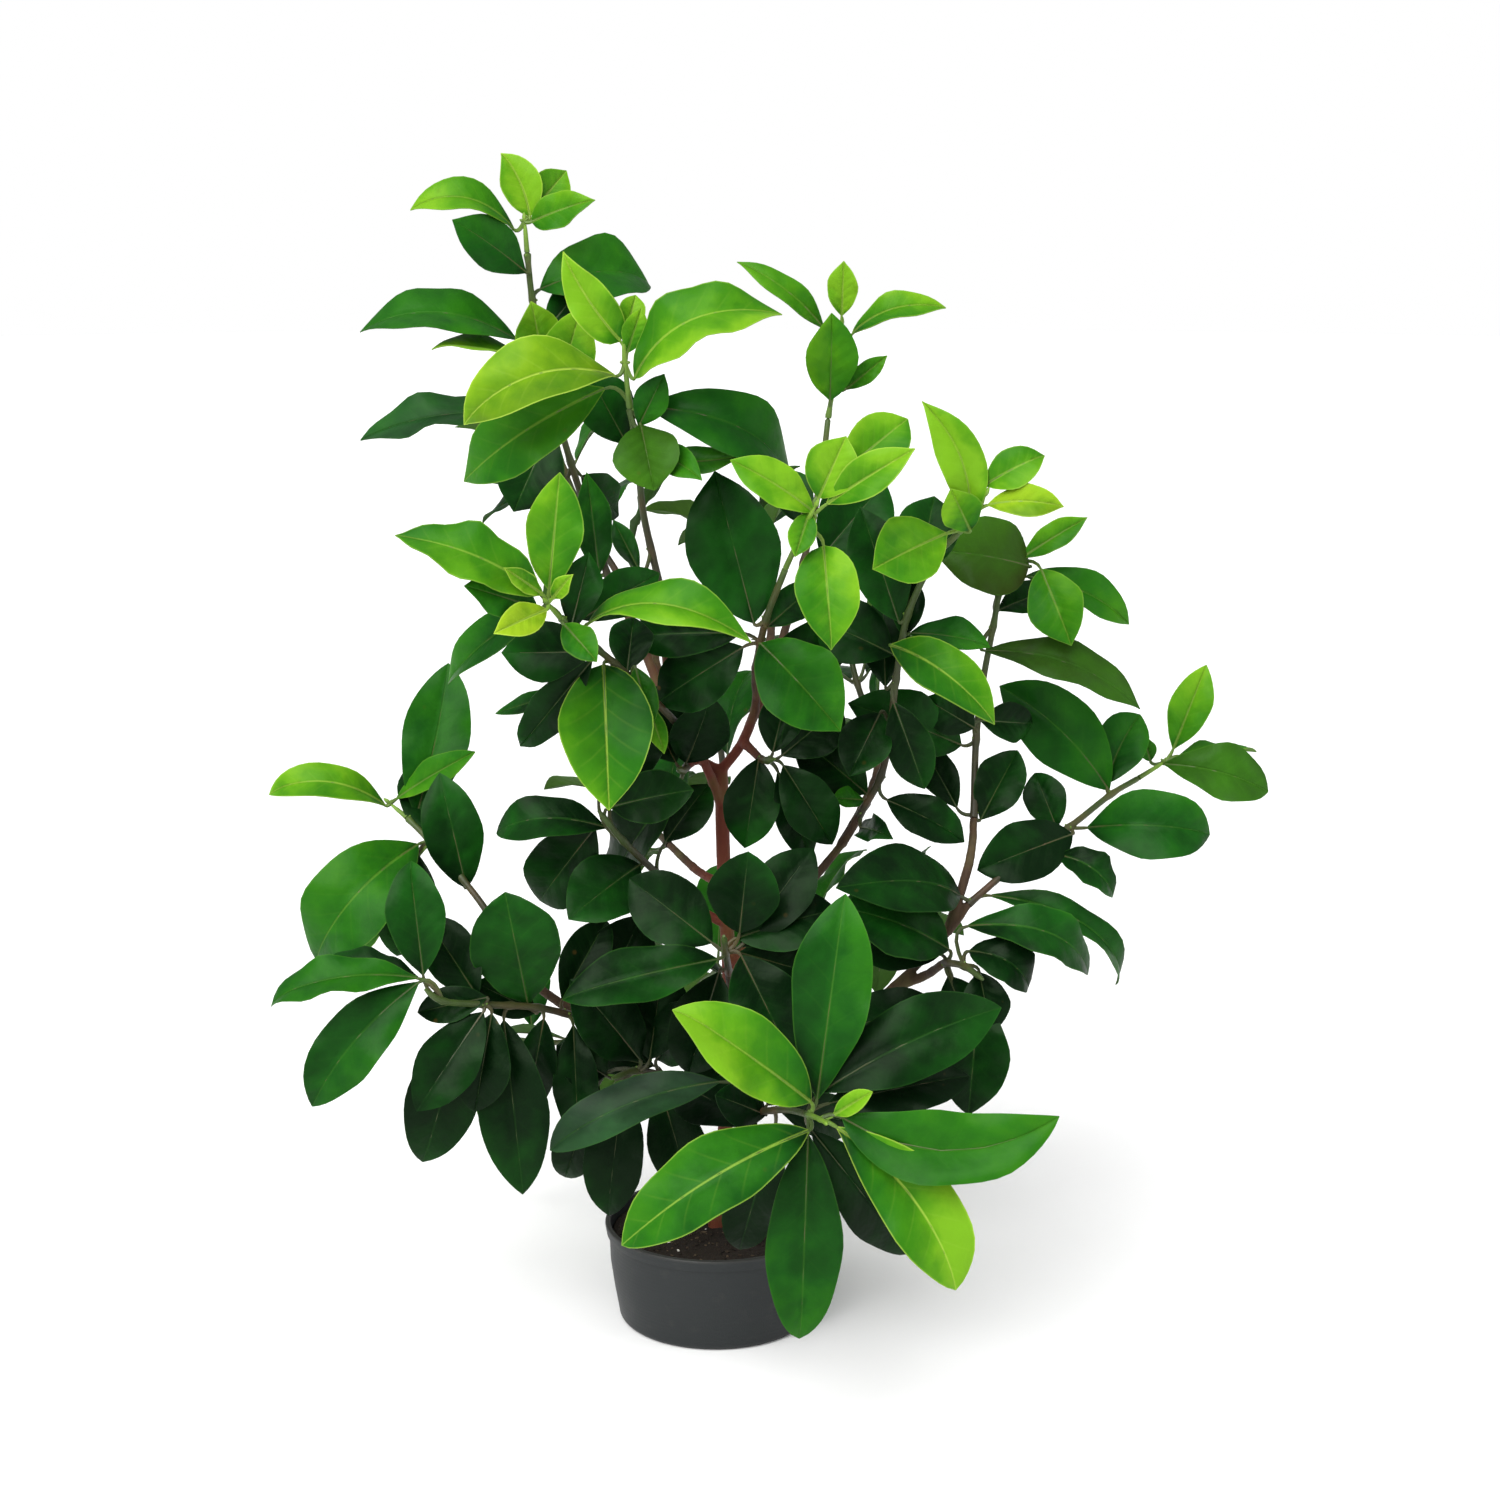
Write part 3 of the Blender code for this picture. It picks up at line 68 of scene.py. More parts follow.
def addObject(name, data):
    made = bpy.data.objects.new(name, data)
    bpy.context.scene.collection.objects.link(made)
    return made


def meshFrom(bm, name):  # uses the bmesh up
    mesh = bpy.data.meshes.new(name)
    bm.to_mesh(mesh)
    bm.free()
    return mesh


def pourInto(whole, mesh):  # uses the mesh up
    whole.from_mesh(mesh)
    bpy.data.meshes.remove(mesh)


def appliedMesh(holder, *helpers):  # the mesh of an object with its modifiers or bevel; the objects go
    bpy.context.view_layer.update()
    mesh = bpy.data.meshes.new_from_object(holder.evaluated_get(bpy.context.evaluated_depsgraph_get()))
    for used in (holder, *helpers):
        bpy.data.objects.remove(used)
    return mesh


def paint(*levels):  # a colour: red, green and blue from 0 to 255
    linear = [c / 255 / 12.92 if c < 10 else ((c / 255 + 0.055) / 1.055) ** 2.4 for c in levels]
    return (*linear, 1)


def operator(kind, swapped=False):  # arithmetic of a socket with a number or another socket
    def apply(wire, other):
        return wire.maths(kind, *((other, wire) if swapped else (wire, other)))

    return apply


class Wire:  # one socket of a material, with arithmetic
    def __init__(self, finish, socket):
        self.finish, self.socket = finish, socket

    def maths(self, kind, *values, clamp=False):
        return self.finish.node("ShaderNodeMath", {"operation": kind, "use_clamp": clamp}, values)

    __add__, __radd__ = operator("ADD"), operator("ADD", True)
    __sub__, __rsub__ = operator("SUBTRACT"), operator("SUBTRACT", True)
    __mul__, __rmul__ = operator("MULTIPLY"), operator("MULTIPLY", True)
    __truediv__ = operator("DIVIDE")

    def __abs__(self):
        return self.maths("ABSOLUTE", self)

    def clamped(self):
        return self.maths("ADD", self, 0, clamp=True)

    def fraction(self):
        return self.maths("FRACT", self)

    def above(self, start, gain):  # 0 up to the start, then rising to 1
        return ((self - start) * gain).clamped()

    def under(self, end, gain):  # 0 from the end on, and rising to 1 below it
        return ((end - self) * gain).clamped()

    def within(self, reach, soft):  # 1 inside the reach and 0 outside, with a soft edge
        return ((reach - self) / soft + 0.5).clamped()


class Finish:  # one material and its nodes
    def __init__(self, name, **constants):
        self.material = bpy.data.materials.new(name)
        self.material.use_nodes = True
        self.tree = self.material.node_tree
        self.shader = self.tree.nodes["Principled BSDF"]
        for socket, value in constants.items():
            self.shader.inputs[socket.replace("_", " ")].default_value = value

    def node(self, kind, settings, values, output=0):
        made = self.tree.nodes.new(kind)
        for name, value in settings.items():
            setattr(made, name, value)
        for socket, value in values.items() if isinstance(values, dict) else enumerate(values):
            self.feed(made.inputs[socket], value)
        return Wire(self, made.outputs[output])

    def feed(self, socket, value):
        if isinstance(value, Wire):
            self.tree.links.new(value.socket, socket)
        else:
            socket.default_value = value

    def surface(self, **values):
        for name, value in values.items():
            self.feed(self.shader.inputs[name.replace("_", " ")], value)

    def ramp(self, value, stops):
        wire = self.node("ShaderNodeValToRGB", {}, [value])
        setStops(wire.socket.node.color_ramp, stops)
        return wire

    def blend(self, share, first, second):
        return self.node("ShaderNodeMix", {"data_type": "RGBA"}, {0: share, 6: first, 7: second}, 2)

    def attribute(self, name):
        packed = self.node("ShaderNodeAttribute", {"attribute_name": name}, [], 1)
        return [self.node("ShaderNodeSeparateXYZ", {}, [packed], part) for part in range(3)]

    def place(self, stretch=(1, 1, 1)):
        spot = self.node("ShaderNodeTexCoord", {}, [], 3)
        return self.node("ShaderNodeMapping", {}, {"Vector": spot, "Scale": stretch})

    def height(self):
        return self.node("ShaderNodeSeparateXYZ", {}, [self.place()], 2)

    def clouds(self, scale, detail=2.0, stretch=(1, 1, 1), rough=0.5):
        values = {"Vector": self.place(stretch), "Scale": scale, "Detail": detail, "Roughness": rough}
        return self.node("ShaderNodeTexNoise", {}, values)

    def grains(self, scale):
        return self.node("ShaderNodeTexVoronoi", {}, {"Vector": self.place(), "Scale": scale})

    def bump(self, height, strength=1.0):
        return self.node("ShaderNodeBump", {}, {"Strength": strength, "Distance": mm, "Height": height})


def setStops(ramp, stops):
    while len(ramp.elements) < len(stops):
        ramp.elements.new(0.5)
    for element, (place, colour) in zip(ramp.elements, stops):
        element.position, element.color = place, colour


# The plant as it is seen in the photograph, all in cm: x and z on the upright plane at y = 0, and forward of it.
trunkRoute = [(0, 3.6, 0), (0, 5.8, 0), (0.2, 8.6, 0), (0.6, 12, 0.3), (0.85, 19, 0.3), (0.55, 26, 0), (0.35, 32.7, 0)]
branchRoutes = {  # what each branch leaves, and its way up to the foot of its shoot
    "crown_mid": ("trunk", [(0.45, 32.2, 0), (-0.9, 33.4, 0.4), (-2.3, 35, 1), (-2.7, 39.6, 2.6)]),
    "centre_right": ("trunk", [(0.45, 32.2, 0), (1.6, 34.4, 0.8), (2.3, 36.4, 2.4)]),
    "rosette_left": ("trunk", [(0.35, 31.2, 0), (-0.5, 33, 1.2)]),
    "rise_right": ("trunk", [(0.8, 21.5, 0), (2.9, 23.6, 1.2), (5, 25.7, 2), (7.2, 28.4, 2)]),
    "far_right": ("trunk", [(0.75, 13.5, 0.3), (5.6, 16.3, 2.4), (10.2, 19.9, 4), (13.3, 23.2, 4.6)]),
    "low_left": ("trunk", [(0.85, 16, 0.3), (-2.4, 16.8, 1.2), (-5.2, 17.4, 2)]),
    "front_low": ("trunk", [(0.3, 9, 0.2), (1.4, 10.8, 4.5)]),
    "inner_left": ("trunk", [(0.8, 23.6, 0), (-1.5, 24.9, 1.4)]),
    "inner_low": ("trunk", [(0.75, 13, 0.3), (-1.6, 14, 1.6)]),
    "heart": ("trunk", [(0.9, 18.2, 0.3), (0.9, 19.4, 2.2)]),
    "fork_left": ("crown_mid", [(-0.9, 33.4, 0.4), (-1.3, 33.2, 1.6)]),
    "fork_right": ("centre_right", [(1.6, 34.4, 0.8), (2.2, 33.8, 2)]),
    "crown_left": ("crown_mid", [(-2.3, 35, 1), (-3.9, 39.6, -1.5)]),
    "summit_right": ("centre_right", [(1.6, 34.4, 0.8), (2.9, 37.6, -0.4), (3.6, 39.6, -1.8)]),
    "column_right": ("far_right", [(13.3, 23.2, 4.6), (14.5, 27.4, 4.2)]),
    "low_right": ("far_right", [(10.2, 19.9, 4), (12, 20.6, 5)]),
    "reach_left": ("low_left", [(-5.2, 17.4, 2), (-8.8, 18.9, 1.6), (-11.2, 21, 1.6)]),
    "back_crown": ("crown_left", [(-3.1, 37.3, -0.25), (-3.6, 40.6, -5)]),
    "back_top": ("summit_right", [(3, 38, -0.8), (3.2, 41.5, -7)]),
    "back_right": ("rise_right", [(7.2, 28.4, 2), (8.4, 30.6, -1), (9.2, 32.8, -5)]),
    "back_centre": ("trunk", [(0.5, 30.4, 0), (0.55, 31.4, -2.8)]),
    "back_left": ("trunk", [(0.7, 25.6, 0), (-0.9, 26.8, -2.8)]),
    "back_low": ("trunk", [(0.85, 17, 0.3), (1.1, 17.7, -2.8)]),
    "back_side": ("trunk", [(0.85, 20.2, 0.3), (2.6, 21.6, -2)]),
    "back_low_left": ("trunk", [(0.8, 14.8, 0.3), (-0.9, 15.5, -2)]),
}
# A shoot: its stem as seen x, z and front in cm, tipAt where its young growth starts, and its leaves.
# A leaf: base x, z, tip x, z, width, reach forward, turn to the sky, arch, youth, and what else sets it apart.
# bow and belly shape it; pale edges and rib, gold, olive and shade are its looks, and grey is a painted sheen.
shootRows = {
    "crown_left": {"tipAt": 5, "stem": [
        (-5.9, 43.8, -2), (-7.3, 48.2, -2), (-8.4, 52, -1.5), (-9.2, 55.5, -1), (-9.85, 59, -0.5), (-10.1, 61.6, 0),
        (-10.2, 63.2, 0),
    ], "old": [
        (-10.2, 60.5, -14.1, 63.3, 2.7, 2, 0.35, 0.05, 0.2),
        (-9.4, 59.6, -3.2, 59.9, 4.2, -3, 0.42, 0.2, 0.25, {"shade": 2}),
        (-10.8, 56.9, -19.4, 57.4, 3.4, 1, 0.54, 0.19, 0.2, {"shade": 3}),
        (-10.4, 55.9, -15.4, 56.6, 2, 2.4, 0.7, 0.04, 0.85),
        (-10.4, 52.8, -19.5, 51.4, 2.6, -2, 0.55, 0.09, 0.08, {"shade": 2.5, "grey": 0.12}),
        (-9, 51.8, -11.1, 47.4, 3.7, 1, 0.25, 0.06, 0.12),
        (-8.6, 49, -12.9, 46.9, 1.8, -3, 0.6, 0.05, 0.06),
        (-7.3, 49.4, -5.3, 47.2, 2.4, -3, 0.3, 0.05, 0.02),
        (-6.4, 44, -7, 49.6, 2, 1.5, 0.05, 0.05, 0.22),
        (-9.3, 55.6, -9.9, 58.9, 2.4, 2.6, 0.1, 0.04, 0.8),
        (-8.5, 54.2, -7.2, 58.6, 2.8, 3.2, 0.1, 0.05, 0.74),
        (-9.1, 57.4, -6.4, 60.4, 2, -2, 0.3, 0.05, 0.15),
    ], "young": [
        (-10.8, 62.8, -16.5, 63.9, 2.3, 1, 0.55, 0.26, 0.72),
        (-9.9, 63.5, -11.4, 66.9, 2.1, -0.5, 0, 0.03, 0.86, {"belly": 0.9, "bow": 0.07}),
        (-9.9, 63.6, -7.9, 65.9, 2.1, -1.2, 0.05, 0.03, 0.7),
        (-9.8, 63.2, -6.4, 64.4, 1.9, 1.5, 0.25, 0.06, 0.66, {"belly": 0.85}),
    ]},
    "crown_mid": {"tipAt": 3, "stem": [
        (-3, 43.2, 4.5), (-3.9, 47.3, 6), (-4.2, 50.5, 7.4), (-4.6, 53.2, 8.4), (-4.85, 55.6, 9), (-4.9, 57, 9.2),
    ], "old": [
        (-3.5, 53.2, 4.3, 49, 4, -3, 0.38, 0.28, 0.12, {"shade": 3.5}),
        (-3.5, 50.2, 1.5, 50.5, 1.6, 1, 0.4, -0.05, 0.44),
        (-4.2, 44.2, -5.6, 47, 1.2, -1.6, 0.1, 0.04, 0.14),
        (-3.4, 50.9, -0.7, 49.3, 1.7, 4, 0.2, 0.06, 0.45),
        (-4.8, 51.2, -6.9, 55.1, 3, -1.5, 0.05, 0.05, 0.18),
        (-4.1, 52.2, -2.7, 55, 1.8, 1, 0.05, 0.03, 0.34),
        (-4, 52.2, -3.3, 48.6, 3.5, 2.4, 0.1, 0.1, 0.4, {"belly": 1.2, "olive": 0.2}),
    ], "young": [
        (-5.1, 56.8, -8.2, 61.6, 2.3, 0.5, 0.05, 0.04, 0.92, {"belly": 0.72, "bow": -0.04}),
        (-4.7, 57.5, -4.2, 59.3, 1.4, -0.6, 0, 0.03, 0.8),
        (-4.3, 54.8, 3.8, 58.3, 3.7, 1, 0.42, 0.33, 0.74),
        (-4.7, 56.2, -3.9, 58.6, 1.3, 0.4, 0.05, 0.03, 0.66),
        (-5.4, 54.9, -14, 52.2, 3.9, 2, 0.45, 0.26, 0.66, {"gold": 0.1, "pale": 0.9}),
        (-6, 54.2, -13.8, 49.1, 3.8, -1.6, 0.2, 0.22, 0.56),
    ]},
    "summit_right": {"tipAt": 3, "stem": [
        (4.5, 42.6, -4), (5.4, 46.5, -5), (6, 50, -5.5), (6.3, 52.6, -6), (6.75, 55.5, -6.2), (7, 57.6, -6.3),
    ], "old": [
        (6, 44.9, 9.5, 49.1, 4, -2, 0.1, 0.06, 0.1),
        (5.2, 46.6, 3.6, 49.9, 2.2, -2.6, 0.2, 0.06, 0.1),
    ], "young": [
        (6, 57.5, 1.3, 61.1, 1.5, 0.6, 0.35, 0.16, 0.58),
        (7, 58.2, 7.1, 61.1, 1.6, 0.4, 0, 0.03, 0.9),
        (7.6, 57.2, 12.7, 58.6, 1.7, 0.8, 0.45, 0.22, 0.64),
        (6.4, 53.6, 6.5, 58.3, 2.7, 1.6, 0, 0.06, 0.42, {"shade": 4}),
        (7.3, 54.2, 9.5, 56, 1.1, 0.8, 0.05, 0.03, 0.6),
    ]},
    "centre_right": {"tipAt": 2, "stem": [
        (2.3, 38.6, 5), (2.9, 41.4, 7.5), (4, 44.3, 10), (5, 46.5, 12), (5.6, 47.7, 12.8),
    ], "old": [
        (2.2, 41.2, 0, 49.7, 4.9, -0.8, 0.05, 0.06, 0.08, {"shade": 2}),
        (2.6, 40, 7.1, 35, 4.4, 3, 0.2, 0.1, 0.36),
        (3.2, 39.2, 7.6, 39.8, 3, -1.4, 0.2, 0.05, 0.08),
        (3, 41, 5.5, 43.2, 2, -2.6, 0.1, 0.05, 0.08),
        (1.6, 39.8, -3.3, 36.6, 3.6, -1, 0.15, 0.05, 0),
        (1.4, 40.6, -4.9, 40.4, 2.8, -2.6, 0.2, 0.06, 0.02),
    ], "young": [
        (6.3, 47.9, 11.1, 50.9, 2.2, 1, 0.15, 0.08, 0.86),
        (6.8, 49.4, 10.7, 52.6, 3, -1.8, 0.05, 0.05, 0.68, {"belly": 1.3}),
        (5.5, 47.4, 0.9, 50.3, 2.3, 0.6, 0.3, 0.1, 0.82),
        (5.3, 47.4, 4.5, 44.9, 1.5, 1.4, 0.15, 0.05, 0.66),
        (6.1, 45.5, 6.6, 39.6, 3.4, 2, 0, 0.08, 0.74, {"belly": 0.85}),
        (5.8, 48.2, 7.3, 51.6, 2.9, 0.4, 0, 0.05, 0.92),
    ]},
    "rosette_left": {"tipAt": 4, "stem": [
        (-1.9, 35.2, 4), (-3.8, 37.2, 7), (-5.6, 38.9, 10), (-7.4, 40.4, 13), (-8.6, 41.5, 14.8), (-9.3, 42.3, 15.8),
    ], "old": [
        (-6.2, 38.8, -6, 30.4, 4.9, 3, 0.05, 0.08, 0.56, {"belly": 0.85, "pale": 0.85}),
        (-3.8, 36.6, -2.8, 33.7, 1.1, 1, 0.1, 0.04, 0.7),
        (-4.4, 38.6, -3.6, 35.2, 1.6, 2, 0.1, 0.04, 0.42),
        (-6.9, 39, -11.1, 33.9, 2.3, -2.4, 0.1, 0.04, 0.04),
        (-6.6, 39.6, -12, 39.5, 3.3, -2, 0.2, -0.03, 0.06),
        (-7.6, 37.3, -12.3, 36, 1.1, -3.6, 0.3, 0.04, 0.16),
        (-8.4, 41.1, -6.6, 39, 1.8, 2, 0.2, 0.04, 0.46),
        (-7, 41.2, 2.1, 40.1, 2.8, 3, 0.5, 0.24, 0.74),
        (-7.4, 41.4, -3, 44, 2.5, -2.6, 0.15, 0.05, 0.06),
        (-4.9, 38.4, -4.5, 41.5, 2.4, -2.8, 0.1, 0.05, 0.03),
        (-8, 40.9, -6.9, 45.2, 2.2, -1.6, 0.05, 0.04, 0.12),
        (-9.7, 42, -15, 37.7, 2.7, -3, 0.25, 0.1, 0.36),
    ], "young": [
        (-9.7, 42.8, -17.7, 46.1, 3.3, 1, 0.34, 0.18, 0.62),
        (-9.2, 43.1, -8.5, 49.6, 3, 0, 0, 0.04, 0.7),
        (-9.9, 42, -13.9, 43.3, 2.5, 2.4, 0.2, 0.03, 0.4),
        (-9.6, 42.8, -11.7, 44.3, 1.1, 2.4, 0.15, 0.03, 0.84),
        (-9.4, 41.9, -12.3, 40.6, 1.8, 2.8, 0.1, 0.05, 1, {"gold": 0.2}),
        (-9, 42.6, -7.9, 43.9, 1, 1.4, 0.1, 0.03, 0.95),
    ]},
    "rise_right": {"tipAt": 6, "stem": [
        (8.2, 30.1, 2.6), (9.4, 32.4, 3.4), (9.9, 35, 4.2), (10.2, 38, 5), (10.8, 41.6, 6), (12.2, 44.7, 7.4),
        (13.6, 46.3, 8.4), (14.6, 47.5, 9), (15, 48.3, 9.2),
    ], "old": [
        (9.8, 31, 14.3, 28.6, 2.4, 1, 0.2, 0.12, 0.03),
        (8.3, 29.4, 9.9, 28.9, 1.5, 2, 0.1, 0.05, 0.03),
        (8.6, 31.4, 4.5, 34.8, 3.2, -1.5, 0.15, 0.06, 0.04),
        (8.4, 31, 6.7, 31.1, 1.3, 1, 0.4, 0.03, 0.45),
        (9.3, 36, 7.6, 32.4, 2.8, 2.4, 0.1, 0.06, 0.05),
        (10.1, 36.6, 11.9, 31.6, 2.5, 0.6, 0.1, 0.05, 0.03),
        (10.6, 40.4, 11, 43.8, 1.8, -1, 0.05, 0.05, 0.1),
        (9.9, 39.9, 15.9, 35.4, 3, 3.2, 0.35, 0.21, 0.6, {"pale": 0.6}),
        (11, 40.6, 15.5, 39.9, 2.3, 1.5, 0.5, 0.06, 0.3),
        (10.3, 41.3, 8.1, 47.7, 3.2, -1.5, 0.05, 0.05, 0.12),
        (11.4, 43.9, 12.2, 48.3, 3.4, -2.5, 0.1, 0.05, 0.18),
        (10, 39.4, 5.6, 41.4, 3.6, -2, 0.25, 0.06, 0.08),
        (9.6, 37.6, 9.4, 42.6, 2.8, -3.4, 0.1, 0.05, 0.05),
    ], "young": [
        (14.2, 47.4, 11.4, 53.5, 2.4, 0, 0.05, 0.04, 0.86, {"belly": 0.85, "bow": 0.11}),
        (15, 48.9, 18.3, 50.6, 2.2, 0.5, 0.2, 0.14, 0.66),
        (15.2, 47.8, 19.4, 47.7, 1.8, 1.2, 0.3, 0.16, 0.92, {"gold": 0.15}),
        (12.9, 46.2, 8.8, 44.2, 3.7, 2.4, 0.15, 0.06, 0.8, {"belly": 1.35}),
        (14.2, 46.4, 13.1, 48.7, 2.2, 1.6, 0.1, 0.03, 0.74),
    ]},
    "column_right": {"tipAt": 4, "stem": [
        (14.7, 30, 2.6), (14.75, 34.5, 1), (15.1, 38, 0), (15.6, 41, 0), (15.9, 43, 0), (16.4, 44.5, 0),
    ], "old": [
        (15.2, 39.6, 24, 36.3, 2.7, 1, 0.46, 0.18, 0.22, {"olive": 0.18}),
        (14.6, 35.2, 11.8, 36.9, 2.4, 0.6, 0.05, 0.05, 0.04),
        (15, 35.6, 18, 35.4, 2.2, -2, 0.1, 0.05, 0.08),
        (13.9, 34.2, 7.5, 36.6, 3.4, 1.6, 0.2, 0.06, 0.14),
        (15.9, 41.9, 18.9, 43, 2, -3, 0.3, 0.06, 0.08),
        (13.7, 30.6, 11.7, 34.2, 2, -2, 0.2, 0.05, 0.03),
        (15.1, 29.9, 17.1, 33.9, 2.7, 0.6, 0.05, 0.05, 0.03),
    ], "young": [
        (17.2, 44.9, 20.7, 47.1, 1.5, 0.4, 0.25, 0.05, 0.6),
        (18.2, 44.2, 20, 39.9, 3, 2.4, 0.12, 0.1, 0.6),
        (17.4, 43.8, 23.2, 41.1, 2.4, -1.2, 0.45, 0.14, 0.4),
        (17.5, 44.4, 12.1, 45.3, 4.2, 1.2, 0.22, 0.1, 0.26, {"belly": 0.8, "olive": 0.22}),
        (16.4, 45, 16.7, 46.6, 1.1, -1.6, 0, 0.03, 0.26),
    ]},
    "far_right": {"tipAt": 4, "stem": [
        (14.5, 24.9, 4.4), (17.2, 27.3, 3), (20.1, 29.4, 1), (22.4, 31.3, -1), (24, 32.3, -2.4), (25.4, 33.2, -3.4),
    ], "old": [
        (21.2, 29.4, 28.4, 29, 3.8, 1, 0.2, 0.2, 0.16, {"shade": 2}),
        (22.3, 31.6, 16, 37.6, 3.9, -1.5, 0.1, 0.08, 0.2, {"bow": 0.06, "shade": 2}),
        (22.2, 32, 24, 36, 2.8, -2.4, 0.1, 0.05, 0.24, {"bow": -0.05}),
        (19.4, 29.4, 18.1, 32.6, 2.3, -1.4, 0.1, 0.08, 0.04),
        (20.3, 29, 15, 26.9, 3.3, 2.6, 0.1, 0.05, 0),
        (19.5, 27.8, 22.9, 25.3, 2.2, 1, 0.45, 0.28, 0.08),
        (14, 25.4, 6.9, 25.8, 4.2, 2, 0.34, 0.15, 0.06),
        (15.8, 25.4, 23.6, 20.1, 2, -0.6, 0.45, 0.3, 0.2),
    ], "young": [
        (25.9, 34, 27.6, 38.8, 2.2, 0, 0, 0.03, 0.72),
        (26.3, 33.6, 30.6, 33.9, 1.8, -1.6, 0.9, 0.02, 0.56),
        (25.4, 33.1, 31.4, 31.5, 3.1, 1, 0.28, 0.18, 0.36, {"belly": 1.3, "olive": 0.15}),
        (24.6, 33.3, 24.2, 34.7, 1, 0.6, 0.1, 0.03, 0.42),
    ]},
    "low_right": {"stem": [
        (13.2, 21.4, 8), (14.3, 21.2, 10), (15.4, 20.4, 11.6),
    ], "old": [
        (14.5, 23.6, 21.6, 20.7, 3, -1, 0.42, 0.32, 0.14),
        (14.6, 22.1, 18.2, 19.8, 2.8, 0.6, 0.42, 0.34, 0.06),
        (15.2, 20.8, 15.9, 17.2, 2.6, 1, 0.1, 0.08, 0.05),
        (13.4, 20.6, 14.9, 16.9, 2.8, -3, 0.1, 0.05, 0.08),
        (13.4, 22.2, 7, 24.7, 4.8, 1, 0.2, 0.1, 0.12),
        (12.9, 21.9, 7.2, 22.9, 2.9, -1, 0.2, 0.05, 0),
        (12.9, 19, 7.4, 17.4, 3, -1.4, 0.15, 0.05, 0),
        (15.2, 19.5, 14.7, 12.2, 3.9, 1.4, 0.05, 0.06, 0.05),
    ]},
    "reach_left": {"tipAt": 4, "stem": [
        (-12.3, 23, 0.8), (-13.2, 24.7, 0.4), (-14.5, 26.5, -0.6), (-16.2, 28.6, -2), (-17.5, 30, -3),
        (-18.4, 30.8, -3.6),
    ], "old": [
        (-16.9, 28.4, -23.1, 21.4, 4.6, 2.4, 0.28, 0.35, 0.44),
        (-16.9, 30.2, -14.9, 38.9, 3.6, -2.4, 0.05, 0.05, 0.26, {"bow": 0.02}),
        (-14.2, 25.9, -15.6, 32.6, 3.2, -0.5, 0.1, 0.06, 0.1),
        (-16.2, 28.7, -16.7, 33.5, 2.8, -2, 0.1, 0.05, 0.1),
        (-16.9, 27.8, -18.3, 21.7, 3.4, 1, 0.1, 0.06, 0.06),
        (-18.1, 26.3, -21.4, 21.8, 2.3, -2, 0.2, 0.08, 0.78),
    ], "young": [
        (-18.7, 30.7, -25.5, 31.4, 2.2, 1, 0.48, 0.25, 0.74),
        (-18, 31.1, -13.5, 33.8, 1.7, 1.6, 0.4, 0.04, 0.6),
    ]},
    "low_left": {"stem": [
        (-7, 17.9, 4), (-10.2, 18.7, 7), (-13.4, 18.9, 9.6), (-15.7, 19.1, 11.4), (-16.7, 19.8, 12.2),
    ], "old": [
        (-17.2, 20.5, -25.9, 19.1, 2.6, 1, 0.45, 0.15, 0.36, {"belly": 1.3}),
        (-17.1, 20.5, -22.4, 21.7, 1.8, -1.6, 0.6, 0.07, 0.04),
        (-17.1, 20.2, -23.5, 12.6, 3.5, 1, 0.15, 0.12, 0.26, {"bow": 0.05}),
        (-16.8, 20.7, -17.4, 27.5, 3.2, -1.6, 0.05, 0.05, 0.08),
        (-10.8, 18.9, -12, 25.5, 4.9, 2, 0.05, 0.05, 0.16, {"belly": 1.35}),
        (-13.7, 19.4, -16.6, 24.2, 3, -2.4, 0.05, 0.05, 0),
        (-13.4, 18.4, -17.4, 12.4, 3.3, 2.4, 0.15, 0.06, 0.02),
        (-12.9, 18.3, -14, 12.3, 3, 0.8, 0.1, 0.06, 0),
        (-14.3, 18.2, -17.1, 9.1, 3.9, 0.4, 0.1, 0.06, 0),
        (-12.2, 17.9, -11.3, 7.3, 3.8, 2.4, 0.1, 0.06, 0.02),
        (-8.2, 17.6, -8, 10.8, 2.5, 1, 0.1, 0.06, 0.04),
        (-9.9, 18, -10.9, 12.6, 2.4, -1.8, 0.1, 0.06, 0),
        (-6.8, 18.6, -4.2, 24.2, 4, -1.5, 0.05, 0.05, 0),
        (-8.8, 19.2, -6.2, 24, 2.6, -2.5, 0.05, 0.05, 0),
        (-13.2, 19.3, -17.2, 18.4, 2, 0.2, 0.2, 0.05, 0),
        (-10.4, 18.4, -13.8, 20.2, 2.2, 0.6, 0.15, 0.05, 0),
    ]},
    "front_low": {"tipAt": 2, "stem": [
        (2.6, 12.4, 9.5), (4.2, 12.5, 14.5), (5.4, 12.2, 18.5), (6.1, 11.9, 21), (6.4, 11.7, 22.8),
    ], "old": [
        (5.9, 13.2, 7.4, 25.5, 4.4, -1, 0, 0.04, 0.3, {"belly": 1.25}),
        (5.4, 10.9, 5, -2.1, 4.2, 1, 0.05, 0.05, 0.28),
        (6.2, 13.6, 16.5, 18.7, 4.4, -2.4, 0.15, 0.08, 0.03, {"bow": -0.03}),
        (6.6, 12.9, 14.8, 14.6, 3.2, -3.4, 0.15, 0.05, 0),
        (3.7, 12.5, 8, 11.7, 2.7, -3.6, 0.1, 0.05, 0.02),
        (2.9, 12.2, 0, 13.4, 2.4, 1.6, 0.1, 0.05, 0),
        (5.4, 11.2, -5.5, 4.1, 4.4, 2.4, 0.28, 0.18, 0.44, {"pale": 0.9}),
        (0.2, 14.2, -9.8, 10, 3, 0.4, 0.4, 0.16, 0.14, {"grey": 0.22}),
        (5.6, 11.2, 11.3, 3.6, 3.4, -3.4, 0.1, 0.06, 0),
        (3.4, 11.2, 1.4, 3.8, 3.4, -2, 0.1, 0.06, 0),
